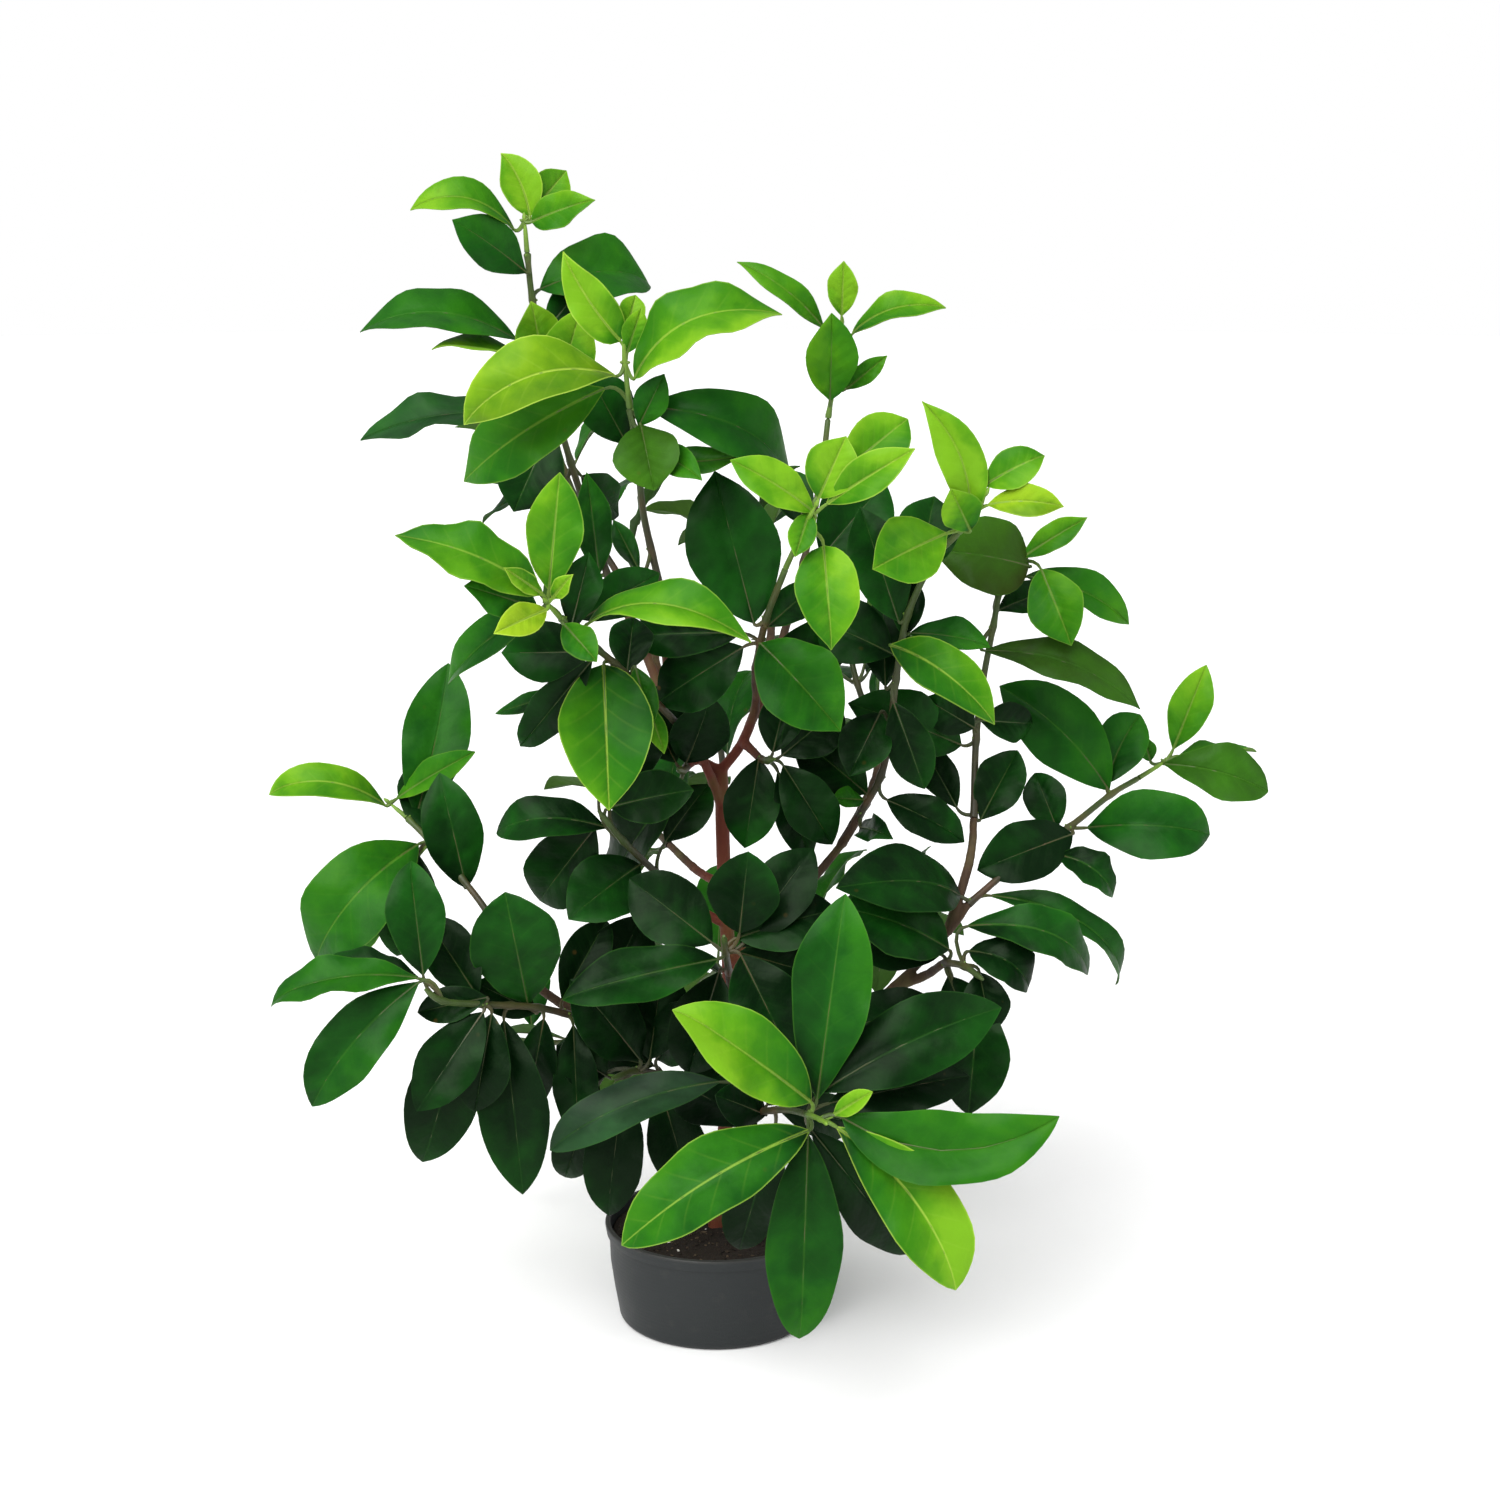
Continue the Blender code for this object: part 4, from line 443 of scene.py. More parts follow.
        (3, 12.8, 6.4, 17.2, 3.4, -3, 0.1, 0.05, 0),
    ], "young": [
        (5.5, 13, -2.3, 18.8, 4.1, 1.4, 0.2, 0.06, 0.76),
        (7.1, 11.4, 14.3, 1.1, 4.3, 1.4, 0.05, 0.05, 0.78, {"bow": -0.09, "belly": 1.2, "pale": 0.5}),
        (7.4, 12, 20, 12.1, 4.2, 0.6, 0.1, -0.05, 0.34, {"bow": 0.15, "belly": 0.95, "shade": 2}),
        (6.9, 12.2, 9.1, 13.6, 1.2, 1.2, 0.1, 0.03, 0.96),
    ]},
    "inner_left": {"stem": [
        (-3.2, 26.6, 4), (-5.2, 28.6, 6), (-6.6, 30.4, 7),
    ], "old": [
        (-2.8, 28.6, -0.4, 31.9, 2.6, -2.6, 0.2, 0.05, 0.03),
        (-4.3, 27.2, -8.4, 24, 3.8, 4, 0.15, 0.08, 0.12),
        (-6.2, 29.4, -12.6, 29.1, 2.7, -1, 0.42, 0.2, 0.04),
        (-6.8, 29.4, -10.2, 24.9, 3.9, -2.4, 0.1, 0.05, 0.08),
        (-5.9, 30.6, -1.2, 31.6, 2.9, 1.6, 0.2, 0.06, 0.1),
        (-6.6, 31.2, -6.4, 36.2, 3.2, -2, 0.1, 0.05, 0),
        (-5.8, 31.2, -3.6, 36.8, 3.4, -3.4, 0.1, 0.05, 0),
    ]},
    "inner_low": {"stem": [
        (-3, 14.6, 3), (-4.6, 14.9, 5), (-6, 14.4, 6.4),
    ], "old": [
        (-5.4, 13.7, -6.4, 5.8, 3.3, 1.4, 0.1, 0.06, 0),
        (-6.8, 14, -8.9, 8.1, 2.6, -1.6, 0.1, 0.06, 0),
        (-4.4, 15.6, -8.2, 20.4, 3.6, 2, 0.15, 0.05, 0.02),
        (-3.8, 15.6, -3, 21.2, 3.4, -1.4, 0.1, 0.05, 0),
        (-3.2, 13.8, -1.4, 7.2, 3.2, 0.6, 0.1, 0.06, 0),
        (-3.4, 15.6, -0.6, 18.9, 3, 3, 0.2, 0.05, 0.05),
        (-6.4, 14.6, -9.2, 16.4, 3, 1.4, 0.15, 0.06, 0),
        (-3.6, 15.2, -7.6, 15.9, 1.9, -1.6, 0.2, 0.05, 0),
        (-2.4, 14.2, 2.4, 11.6, 3.4, 1.6, 0.1, 0.06, 0),
    ]},
    "fork_left": {"stem": [
        (-1.6, 32.9, 2.8), (-1.8, 32.7, 4), (-2.1, 32.8, 5.2),
    ], "old": [
        (-2.3, 31.6, -6.4, 24.8, 4.4, 1, 0.15, 0.06, 0.06),
        (-2.2, 33.2, -4.4, 37.6, 3.4, -1.5, 0.1, 0.05, 0.02),
        (-1.6, 33.2, -0.2, 37, 3.2, -2, 0.1, 0.05, 0.02),
    ]},
    "fork_right": {"stem": [
        (2.6, 33.4, 3), (3, 33.3, 4), (3.4, 33.4, 5),
    ], "old": [
        (3.8, 33.6, 7.2, 36.4, 3.2, -1.5, 0.1, 0.05, 0.02),
        (3.9, 33, 6.7, 28.4, 2.9, 0.6, 0.15, 0.05, 0.06),
        (2.5, 33.4, 1.7, 28.2, 3, 0.8, 0.1, 0.05, 0.05),
        (3.6, 32.6, 5.4, 27.6, 2.2, -1, 0.1, 0.05, 0.05),
        (3.3, 33.8, 4.1, 37.3, 2.4, -1.6, 0.1, 0.05, 0),
    ]},
    "heart": {"stem": [
        (0.8, 20.8, 6), (0.6, 22, 8.6), (0.5, 23, 10.6),
    ], "old": [
        (1.4, 23.2, 1.9, 28, 3.9, 0.6, 0.05, 0.05, 0.04),
        (1.8, 22.8, 5.6, 28.2, 3.4, -2.2, 0.1, 0.05, 0),
        (-0.2, 22.6, -4.9, 26.4, 3.8, -1.6, 0.1, 0.05, 0),
        (0.1, 21.6, -8.9, 19.3, 3.2, 1.6, 0.25, 0.06, 0.15),
        (1.5, 22.4, 5, 25.6, 3.4, -2.6, 0.15, 0.05, 0.02),
        (1.5, 21.8, 4.5, 15.4, 4.2, 1, 0.1, 0.06, 0),
        (1.4, 22, 6.6, 20.4, 3.2, -1.6, 0.15, 0.05, 0),
        (1.3, 22.9, 7, 24.6, 3.4, -1, 0.2, 0.06, 0.05),
        (0.2, 20.8, -1.6, 14.6, 3.6, -1.4, 0.1, 0.06, 0.03),
    ]},
}
backShoots = {  # stem, seed, leaf pairs, leaf length
    "back_crown": ([(-4.9, 43.2, -8), (-6.8, 46.4, -10), (-8.2, 49.6, -11), (-9, 52.6, -11)], 3, 3, 6.6),
    "back_top": ([(2.8, 43.2, -10), (2, 45.2, -12), (1.2, 47.2, -13)], 5, 3, 6.4),
    "back_right": ([(8.9, 35.2, -9), (8, 37.8, -12), (7.4, 40.4, -14)], 7, 3, 7),
    "back_centre": ([(0.5, 32.6, -6.5), (0.2, 34.4, -11), (-1, 36.2, -15), (-1.8, 38.4, -18)], 11, 3, 7.2),
    "back_left": ([(-2.6, 28.4, -6), (-4.6, 30.6, -10), (-5.2, 32.6, -14), (-5.4, 35, -16)], 13, 3, 6.6),
    "back_low": ([(1.4, 18.7, -6.5), (1.6, 20, -11), (0.6, 20.8, -16), (-0.4, 21.6, -20)], 17, 3, 8.2),
    "back_side": ([(5.2, 23, -5), (8.2, 23.4, -9), (9.8, 23.4, -13), (11.2, 23.8, -16)], 19, 3, 6.8),
    "back_low_left": ([(-3.2, 16.5, -5), (-6.2, 17, -9), (-9, 16.6, -12), (-11.8, 16.8, -14)], 23, 3, 7.4),
}


# What the CAD source gives its plain stems and leaves. The routes are worked out the same way here.
coarse = {
    "trunkFoot": 0.020, "trunkRadii": (4.6 * mm, 4.0 * mm), "branchRadii": (3.0 * mm, 2.2 * mm),
    "shootRadii": (2.1 * mm, 1.7 * mm), "tipRadii": (1.6 * mm, 1.1 * mm),
    "step": 0.025, "gap": 0.3 * mm, "squareEnd": 1.5 * mm, "slopeStep": 0.01,
    "bladeRows": (0.0, 0.32, 0.76, 1.0), "shortRows": (0.0, 0.5, 1.0), "shortBlade": 0.064,
    "belly": 1.08, "fullness": 1.07, "baseHalf": 1.1 * mm, "tipHalf": 0.5 * mm, "fold": 0.16,
    "oldThickness": 0.85 * mm, "youngThickness": 0.65 * mm, "baseReach": 0.12, "mostBend": 7,
    "turns": (-0.35, 0.35, -0.7, 0.7), "turnCost": 3, "match": 0.02 * mm,
}
backLeaf = {
    "from": 0.18, "span": 0.8, "sideways": 0.35, "along": 0.55, "away": 0.55, "inward": 0.5, "rise": 0.30,
    "stalk": 0.012, "least": 0.86, "more": 0.2, "droop": 0.12, "width": 0.42, "arch": 0.10, "youth": (0.12, 0.3),
    "bendLift": 6,
}


def seen(x, z, front):  # a place in the photograph, brought forward along the line of sight
    onPlane = Vector((x, 0, z)) * cm
    return onPlane + (eye - onPlane) * (front * cm / -eye.y)


def seenPlace(point):
    share = -eye.y / (point.y - eye.y)
    onPlane = eye + (point - eye) * share
    return Vector((onPlane.x, onPlane.z)) / cm


def smoothLine(points, step):
    ends = [2 * points[0] - points[1], *points, 2 * points[-1] - points[-2]]
    line = []
    for a, b, c, d in zip(ends, ends[1:], ends[2:], ends[3:]):
        count = max(1, round((c - b).length / step))
        for i in range(count):
            t = i / count
            line.append(
                0.5 * (2 * b + (c - a) * t + (2 * a - 5 * b + 4 * c - d) * t**2 + (3 * b - a - 3 * c + d) * t**3)
            )
    line.append(points[-1].copy())
    return line


def parted(points, at):  # the control points before and after one of them, square to each other across the gap
    heading = (points[at + 1] - points[at - 1]).normalized()
    short, long = heading * coarse["gap"] / 2, heading * (coarse["gap"] / 2 + coarse["squareEnd"])
    middle = points[at]
    return [*points[:at], middle - long], middle - short, middle + short, [middle + long, *points[at + 1 :]]


class Leaf:  # one leaf: where its stalk leaves the stem, its base and tip, and the way its face turns
    def __init__(self, root, base, tip, facing, width, arch, youth, look):
        self.root, self.base = root, base
        self.width, self.arch, self.youth, self.look = width, arch, youth, look
        self.bow, self.belly = look.get("bow", 0.0), look.get("belly", coarse["belly"])
        self.axis = tip - base
        along = self.axis.normalized()
        self.facing = (facing - facing.dot(along) * along).normalized()
        self.side = along.cross(self.facing)

    def midrib(self, t):
        bulge = 4 * t * (1 - t) * self.axis.length
        return self.base + self.axis * t + (self.facing * self.arch + self.side * self.bow) * bulge

    def frameAt(self, t):
        step = coarse["slopeStep"]
        ahead = (self.midrib(t + step) - self.midrib(t - step)).normalized()
        face = (self.facing - self.facing.dot(ahead) * ahead).normalized()
        return ahead, face, ahead.cross(face)

    def corners(self):  # of its plain blade in the CAD part
        rise = partWay((coarse["oldThickness"], coarse["youngThickness"]), self.youth) / 2
        for t in coarse["shortRows" if self.axis.length < coarse["shortBlade"] else "bladeRows"]:
            _, face, side = self.frameAt(t)
            shifted = t**self.belly
            swell = math.sqrt(max(0.0, 4 * shifted * (1 - shifted)))
            half = max(coarse["tipHalf" if t > 0.5 else "baseHalf"], self.width / 2 * swell * coarse["fullness"])
            for across in (-1, 0, 1):
                at = self.midrib(t) + side * (across * half) + face * (abs(across) * half * coarse["fold"])
                yield from (at + face * rise, at - face * rise)


def leafFromRow(row, line, bend, roll):
    baseX, baseZ, tipX, tipZ, width, reach, sky, arch, youth = row[:9]
    look = row[9] if len(row) > 9 else {}
    near = min(line, key=lambda p: (seenPlace(p) - Vector((baseX, baseZ))).length)
    front = -near.y / cm
    reach += bend
    base = seen(baseX, baseZ, front + coarse["baseReach"] * reach)
    tip = seen(tipX, tipZ, front + reach)
    toEye = (eye - (base + tip) / 2).normalized()
    facing = Matrix.Rotation(roll, 3, (tip - base).normalized()) @ (toEye * (1 - sky) + up * sky)
    shrink = 1 - front * cm / -eye.y
    return Leaf(near, base, tip, facing, width * cm * shrink, arch, youth, look)


def leafFromPair(line, share, crossed, length, draw, side, bend, roll):
    b = backLeaf
    index = min(len(line) - 2, round(share * (len(line) - 1)))
    near = line[index]
    along = (line[index + 1] - near).normalized()
    across = along.cross(up).normalized()
    out = ((across * b["sideways"] + across.cross(along)).normalized() if crossed else across) * side
    away = Vector((near.x * b["inward"], 1.0, 0)).normalized()
    lift = b["rise"] * draw[0] + bend / b["bendLift"]
    heading = (out + along * b["along"] + away * b["away"] + up * lift).normalized()
    size = length * cm * (b["least"] + b["more"] * draw[1])
    base = near + heading * b["stalk"]
    tip = base + heading * size - up * size * b["droop"]
    facing = Matrix.Rotation(roll, 3, heading) @ (up + away * b["inward"])
    return Leaf(near, base, tip, facing, size * b["width"], b["arch"], b["youth"][0] + b["youth"][1] * draw[2], {})


def bendAsBuilt(make, solidCorners):  # the CAD source bends each leaf clear of the others: find that bend again
    signs, most = (1, -1), coarse["mostBend"]
    bends = [(0.0, 0.0)] + [(sign * step / 2, 0.0) for step in range(1, most * 2) for sign in signs]
    bends += [(sign * step, turn) for step in range(most) for sign in signs for turn in coarse["turns"]]
    bends.sort(key=lambda bend: abs(bend[0]) + coarse["turnCost"] * abs(bend[1]))
    best, least = None, math.inf
    for bend in bends:
        leaf = make(*bend)
        misses = [solidCorners.find(at)[2] for at in leaf.corners()]
        miss = sum(misses) / len(misses)
        if miss < least:
            best, least = leaf, miss
        if miss < coarse["match"]:
            break
    return best


def routeStems():  # fine curves for the wood and the shoots, and the coarse lines of the shoots
    foot, step, fineStep = Vector((0, 0, coarse["trunkFoot"])), coarse["step"], fineStem["step"]
    trunkPoints = [seen(*p) for p in trunkRoute]
    wood = {"trunk": [foot, *smoothLine(trunkPoints, step)]}
    woodCurves = {"trunk": [foot, *smoothLine(trunkPoints, fineStep)]}
    stems = {name: [seen(*p) for p in shoot["stem"]] for name, shoot in shootRows.items()}
    stems |= {name: [seen(*p) for p in points] for name, (points, *_) in backShoots.items()}
    lines, curves = {}, {}
    for name, (parent, places) in branchRoutes.items():
        shoot, tip = name + "_shoot", name + "_tip"
        points = [seen(*p) for p in places]
        points[0] = min(wood[parent], key=lambda p: (p - points[0]).length)
        before, woodEnd, stemStart, after = parted([*points, *stems[name]], len(points))
        wood[name] = [*smoothLine(before, step), woodEnd]
        woodCurves[name] = [*smoothLine(before, fineStep), woodEnd]
        lines[shoot] = [stemStart, *smoothLine(after, step)]
        curves[shoot] = [woodEnd, *smoothLine(after, fineStep)]
        if "young" in shootRows.get(name, {}):
            squareStart = (lines[shoot][1] - stemStart).normalized() * coarse["squareEnd"]
            before, stemEnd, tipStart, after = parted([stemStart, *stems[name][1:]], shootRows[name]["tipAt"])
            lines[shoot] = [*smoothLine(before, step), stemEnd]
            lines[shoot].insert(1, stemStart + squareStart)
            lines[tip] = [tipStart, *smoothLine(after, step)]
            curves[shoot] = [woodEnd, *smoothLine(before, fineStep), stemEnd]
            curves[tip] = [stemEnd, *smoothLine(after, fineStep)]
    return woodCurves, lines, curves


def growPlant():
    woodCurves, lines, curves = routeStems()
    makers = {node: [] for node in lines}  # for each leaf, what gives it for a bend and a roll
    for name, shoot in shootRows.items():
        for node, rows in ((name + "_tip", shoot.get("young", [])), (name + "_shoot", shoot["old"])):
            for row in rows:
                inner = lines[node][1:-1] if len(lines[node]) > 3 else lines[node]
                makers[node].append(partial(leafFromRow, row, inner))
    for name, (_, seed, pairs, length) in backShoots.items():
        node, dice = name + "_shoot", random.Random(seed)
        for number in range(pairs):
            share = backLeaf["from"] + backLeaf["span"] * number / max(1, pairs - 1)
            for side in (-1, 1):
                draw = [dice.random() for _ in range(3)]
                makers[node].append(partial(leafFromPair, lines[node], share, number % 2 == 0, length, draw, side))
    leaves = {}
    for node, ready in makers.items():
        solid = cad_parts[node].data
        solidCorners = KDTree(len(solid.vertices))
        for i, vert in enumerate(solid.vertices):
            solidCorners.insert(vert.co, i)
        solidCorners.balance()
        leaves[node] = [bendAsBuilt(make, solidCorners) for make in ready]
    return woodCurves, curves, leaves


def tubeMesh(points, radii, sides):  # a round closed tube through the points, ring by ring
    bm = bmesh.new()
    ringLayer = bm.verts.layers.int.new("ring")
    start = bmesh.ops.create_circle(bm, cap_ends=False, segments=sides, radius=1)["verts"]
    ahead = (points[1] - points[0]).normalized()
    turn = up.rotation_difference(ahead)
    last = Matrix.Translation(points[0]) @ turn.to_matrix().to_4x4() @ Matrix.Scale(radii[0], 4)
    bmesh.ops.transform(bm, matrix=last, verts=start)
    edges = bm.edges[:]
    for i in range(1, len(points)):
        nextAhead = (points[min(i + 1, len(points) - 1)] - points[i - 1]).normalized()
        turn = ahead.rotation_difference(nextAhead) @ turn
        ahead = nextAhead
        spot = Matrix.Translation(points[i]) @ turn.to_matrix().to_4x4() @ Matrix.Scale(radii[i], 4)
        grown = bmesh.ops.extrude_edge_only(bm, edges=edges)["geom"]
        verts = [g for g in grown if isinstance(g, bmesh.types.BMVert)]
        edges = [g for g in grown if isinstance(g, bmesh.types.BMEdge) and all(v in verts for v in g.verts)]
        bmesh.ops.transform(bm, matrix=spot @ last.inverted(), verts=verts)
        for vert in verts:
            vert[ringLayer] = i
        last = spot
    bmesh.ops.holes_fill(bm, edges=bm.edges[:], sides=0)
    bmesh.ops.recalc_face_normals(bm, faces=bm.faces[:])
    return bm


def addInto(whole, part, slotNumber, marks):  # marks: layer name and the vector for each vertex
    for name in ("leafPlace", "leafSize", "leafKind", "leafHueAndSheen", "leafShelter"):
        layer = part.verts.layers.float_vector.get(name) or part.verts.layers.float_vector.new(name)
        if name in marks:
            for vert in part.verts:
                vert[layer] = marks[name](vert) if callable(marks[name]) else marks[name]
    for layer in list(part.verts.layers.int.values()):
        part.verts.layers.int.remove(layer)
    for face in part.faces:
        face.material_index = slotNumber
        face.smooth = True
    pourInto(whole, meshFrom(part, "part"))


def finishPiece(bm, name, finishes, nodes, sharpAngle=50):
    mesh = meshFrom(bm, name)
    for finish in finishes:
        mesh.materials.append(finish.material)
    mesh.shade_smooth()
    mesh.set_sharp_from_angle(angle=math.radians(sharpAngle))
    piece = addObject(name, mesh)
    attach(piece, "root")
    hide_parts(*nodes)


def camel(name):
    first, *rest = name.split("_")
    return first + "".join(word.capitalize() for word in rest)


fineLeaf = {
    "columns": (-1, -0.82, -0.52, -0.2, 0, 0.2, 0.52, 0.82, 1), "rows": 10, "rowsPerCm": 0.9, "evenRows": 0.6,
    "thickness": 0.42 * mm, "fold": (0.11, 0.29), "youngFold": 0.06, "curl": (-0.01, 0.06), "curlFrom": 0.78,
    "wave": (0.015, 0.045), "waves": (1.2, 3.0), "phase": (0, 6.28), "ragged": 0.022, "raggedWaves": 2.3,
    "twist": 0.6, "twistFrom": 0.35, "groove": 0.35 * mm, "fade": 8, "fullness": 1.06,
    # a higher point makes that end of the leaf more pointed, and the tips are more pointed high in the plant
    "basePoint": (0.68, 0.86), "tipPoint": (0.66, 0.82), "highTipPoint": 0.34, "highAt": 0.45,
    "tipHalf": 0.2 * mm, "baseHalf": 0.8 * mm,
    "stalkRadii": (1.35 * mm, 0.95 * mm), "stalkSteps": 5, "stalkBend": 0.6,
    "ribRadii": (0.75 * mm, 0.2 * mm), "ribAt": (0.0, 0.1, 0.25, 0.45, 0.65, 0.8), "ribSunk": 0.35, "sides": 6,
}
shelter = {"ways": 18, "lowest": 0.04, "spread": 0.94, "turn": 2.4, "start": 0.012, "reach": 0.3}


def inBox(at, room):  # no leaf edge or bud stands out of the CAD model's box
    return Vector(min(max(c, low + room), high - room) for c, low, high in zip(at, *cadBox))


def shelterMark():  # for a vertex, the share of the sky that the bush hides from it, which the leaf and stem colours turn into painted shade
    bush = bmesh.new()
    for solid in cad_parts.values():
        bush.from_mesh(solid.data)
    bushTree = BVHTree.FromBMesh(bush)
    bush.free()
    ways = []
    for i in range(shelter["ways"]):
        lift, angle = shelter["lowest"] + shelter["spread"] * i / (shelter["ways"] - 1), shelter["turn"] * i
        level = math.sqrt(1 - lift**2)
        ways.append(Vector((math.cos(angle) * level, math.sin(angle) * level, lift)))

    def mark(vert):
        hits = [bushTree.ray_cast(vert.co + way * shelter["start"], way, shelter["reach"])[0] for way in ways]
        return (sum(1 for hit in hits if hit) / len(ways), 0, 0)

    return {"leafShelter": mark}


def leafBlade(leaf, dice):
    s, length = fineLeaf, leaf.axis.length
    columns, rows = s["columns"], round(s["rows"] + s["rowsPerCm"] * length / cm)
    waves = dice.uniform(*s["waves"])
    phases = (dice.uniform(*s["phase"]), dice.uniform(*s["phase"]))
    twist = dice.uniform(-1, 1) * s["twist"]
    fold = dice.uniform(*s["fold"]) + s["youngFold"] * leaf.youth
    curl = dice.uniform(*s["curl"])
    basePoint = dice.uniform(*s["basePoint"])
    tipPoint = dice.uniform(*s["tipPoint"]) + s["highTipPoint"] * min(1, leaf.base.z / s["highAt"]) ** 2
    wave = dice.uniform(*s["wave"]) * length
    phase = dice.random()
    bm = bmesh.new()
    placeLayer = bm.verts.layers.float_vector.new("leafPlace")
    sizeLayer = bm.verts.layers.float_vector.new("leafSize")
    bmesh.ops.create_grid(bm, x_segments=len(columns) - 1, y_segments=rows, size=1)
    for vert in bm.verts:
        across = columns[round((vert.co.x + 1) / 2 * (len(columns) - 1))]
        share = (vert.co.y + 1) / 2
        t = s["evenRows"] * share + (1 - s["evenRows"]) * (0.5 - 0.5 * math.cos(math.pi * share))
        phaseHere = phases[across > 0]
        shifted = t**leaf.belly
        swell = max(0.0, 4 * shifted * (1 - shifted)) ** partWay((basePoint, tipPoint), shifted)
        swell *= 1 + s["ragged"] * math.sin(math.tau * s["raggedWaves"] * t + phaseHere * 3)
        least = partWay((s["baseHalf"], s["tipHalf"]), t)
        half = math.hypot(leaf.width / 2 * swell * s["fullness"], least)
        ahead, face, _ = leaf.frameAt(t)
        face = Matrix.Rotation(twist * (t - s["twistFrom"]), 3, ahead) @ face
        side = ahead.cross(face)
        out = abs(across)
        rise = half * fold * (1.5 * out - 0.5 * out**3)
        rise += wave * out**2 * math.sin(math.pi * t) * math.sin(math.tau * waves * t + phaseHere)
        if across == 0:
            rise -= s["groove"] * min(1, s["fade"] * (1 - t))
        rise -= curl * length * (max(0, t - s["curlFrom"]) / (1 - s["curlFrom"])) ** 2
        at = leaf.midrib(t) + side * (across * half) + face * (rise + s["thickness"] / 2)
        vert.co = inBox(at, s["thickness"])
        vert[placeLayer] = (across, t, 1)
        vert[sizeLayer] = (half / mm, length / mm, phase)
    top = len(bm.verts)
    bm.normal_update()
    middle = list(bm.faces)[len(bm.faces) // 2]
    if middle.normal.dot(leaf.facing) < 0:
        bmesh.ops.reverse_faces(bm, faces=bm.faces[:])
        bm.normal_update()
    bmesh.ops.solidify(bm, geom=bm.faces[:], thickness=s["thickness"])
    bm.verts.ensure_lookup_table()
    for vert in bm.verts[top:]:
        vert[placeLayer].z = 0
    return bm


def leafStalk(leaf):  # the stalk, and the raised midrib under the blade
    s = fineLeaf
    control = leaf.base - leaf.frameAt(0.0)[0] * (leaf.base - leaf.root).length * s["stalkBend"]
    points, radii = [], []
    for i in range(s["stalkSteps"]):
        t = i / s["stalkSteps"]
        points.append(leaf.root * (1 - t) ** 2 + control * 2 * t * (1 - t) + leaf.base * t**2)
        radii.append(partWay(s["stalkRadii"], t))
    for t in s["ribAt"]:
        radii.append(partWay(s["ribRadii"], t, s["ribAt"][-1]))
        depth = s["thickness"] * 0.5 + radii[-1] * s["ribSunk"] * min(1, s["fade"] * t)
        points.append(leaf.midrib(t) - leaf.frameAt(t)[1] * depth)
    return tubeMesh(points, radii, s["sides"])


fineStem = {
    "step": 0.005, "sides": 10, "nodeSwell": 0.28, "nodeReach": 0.004, "end": 0.45,
    "bud": (3.4 * mm, 1.1 * mm), "endBud": (6 * mm, 1.3 * mm), "budTaper": 0.35, "budLift": 0.9, "budOut": 0.4,
    "budSides": 7, "budRings": 6,
    "youngAges": (0.75, 1.0), "oldAges": (0.15, 0.6), "stalkAges": (0.35, 0.65), "budAge": 0.8, "endBudAge": 1.0,
    "palest": 0.35, "leastPale": 0.05,
}


def shootStem(curve, radii, roots):
    last = len(curve) - 1
    sizes = []
    for i, point in enumerate(curve):
        near = min([(point - root).length for root in roots] or [1])
        swell = 1 + fineStem["nodeSwell"] * max(0, 1 - near / fineStem["nodeReach"])
        sizes.append(partWay(radii, i, last) * swell * (fineStem["end"] if i == last else 1))
    return tubeMesh(curve, sizes, fineStem["sides"])


def bud(root, heading, length, radius):
    bm = bmesh.new()
    bmesh.ops.create_uvsphere(bm, u_segments=fineStem["budSides"], v_segments=fineStem["budRings"], radius=1)
    for vert in bm.verts:
        wide = radius * (1 - fineStem["budTaper"] * max(0, vert.co.z))
        vert.co = Vector((vert.co.x * wide, vert.co.y * wide, vert.co.z * length / 2))
    turn = up.rotation_difference(heading).to_matrix().to_4x4()
    spot = Matrix.Translation(root + heading * length * fineStem["budOut"])
    bmesh.ops.transform(bm, matrix=spot @ turn, verts=bm.verts[:])
    return bm


def dressShoot(node, curve, leaves, finishes, sheltered):
    s, dice, young = fineStem, random.Random(node), node.endswith("_tip")
    whole = bmesh.new()
    stem = shootStem(curve, coarse["tipRadii" if young else "shootRadii"], [leaf.root for leaf in leaves])
    ring, ages = stem.verts.layers.int["ring"], s["youngAges" if young else "oldAges"]
    stemAge = {"leafKind": lambda v: (partWay(ages, v[ring], len(curve) - 1), 0, 0)}
    addInto(whole, stem, 1, stemAge | sheltered)
    for leaf in leaves:
        look = leaf.look
        shade = look.get("shade", dice.uniform(-1, 1))
        pale = look.get("pale", s["leastPale"] + s["palest"] * dice.random())
        # the third value is a painted grey sheen
        hue = (look.get("gold", 0), look.get("olive", 0), look.get("grey", 0))
        blade = leafBlade(leaf, dice)
        addInto(whole, blade, 0, {"leafKind": (leaf.youth, shade, pale), "leafHueAndSheen": hue} | sheltered)
        stalkAge = (s["stalkAges"][0] + s["stalkAges"][1] * leaf.youth, 0, 0)
        addInto(whole, leafStalk(leaf), 1, {"leafKind": stalkAge} | sheltered)
        heading = ((leaf.base - leaf.root).normalized() + up * s["budLift"]).normalized()
        addInto(whole, bud(leaf.root, heading, *s["bud"]), 1, {"leafKind": (s["budAge"], 0, 0)})
    if young or node.startswith("back"):
        heading = (curve[-1] - curve[-2]).normalized()
        addInto(whole, bud(curve[-1], heading, *s["endBud"]), 1, {"leafKind": (s["endBudAge"], 0, 0)})
    for vert in whole.verts:
        vert.co = inBox(vert.co, 0)
    finishPiece(whole, camel(node), finishes, [node])


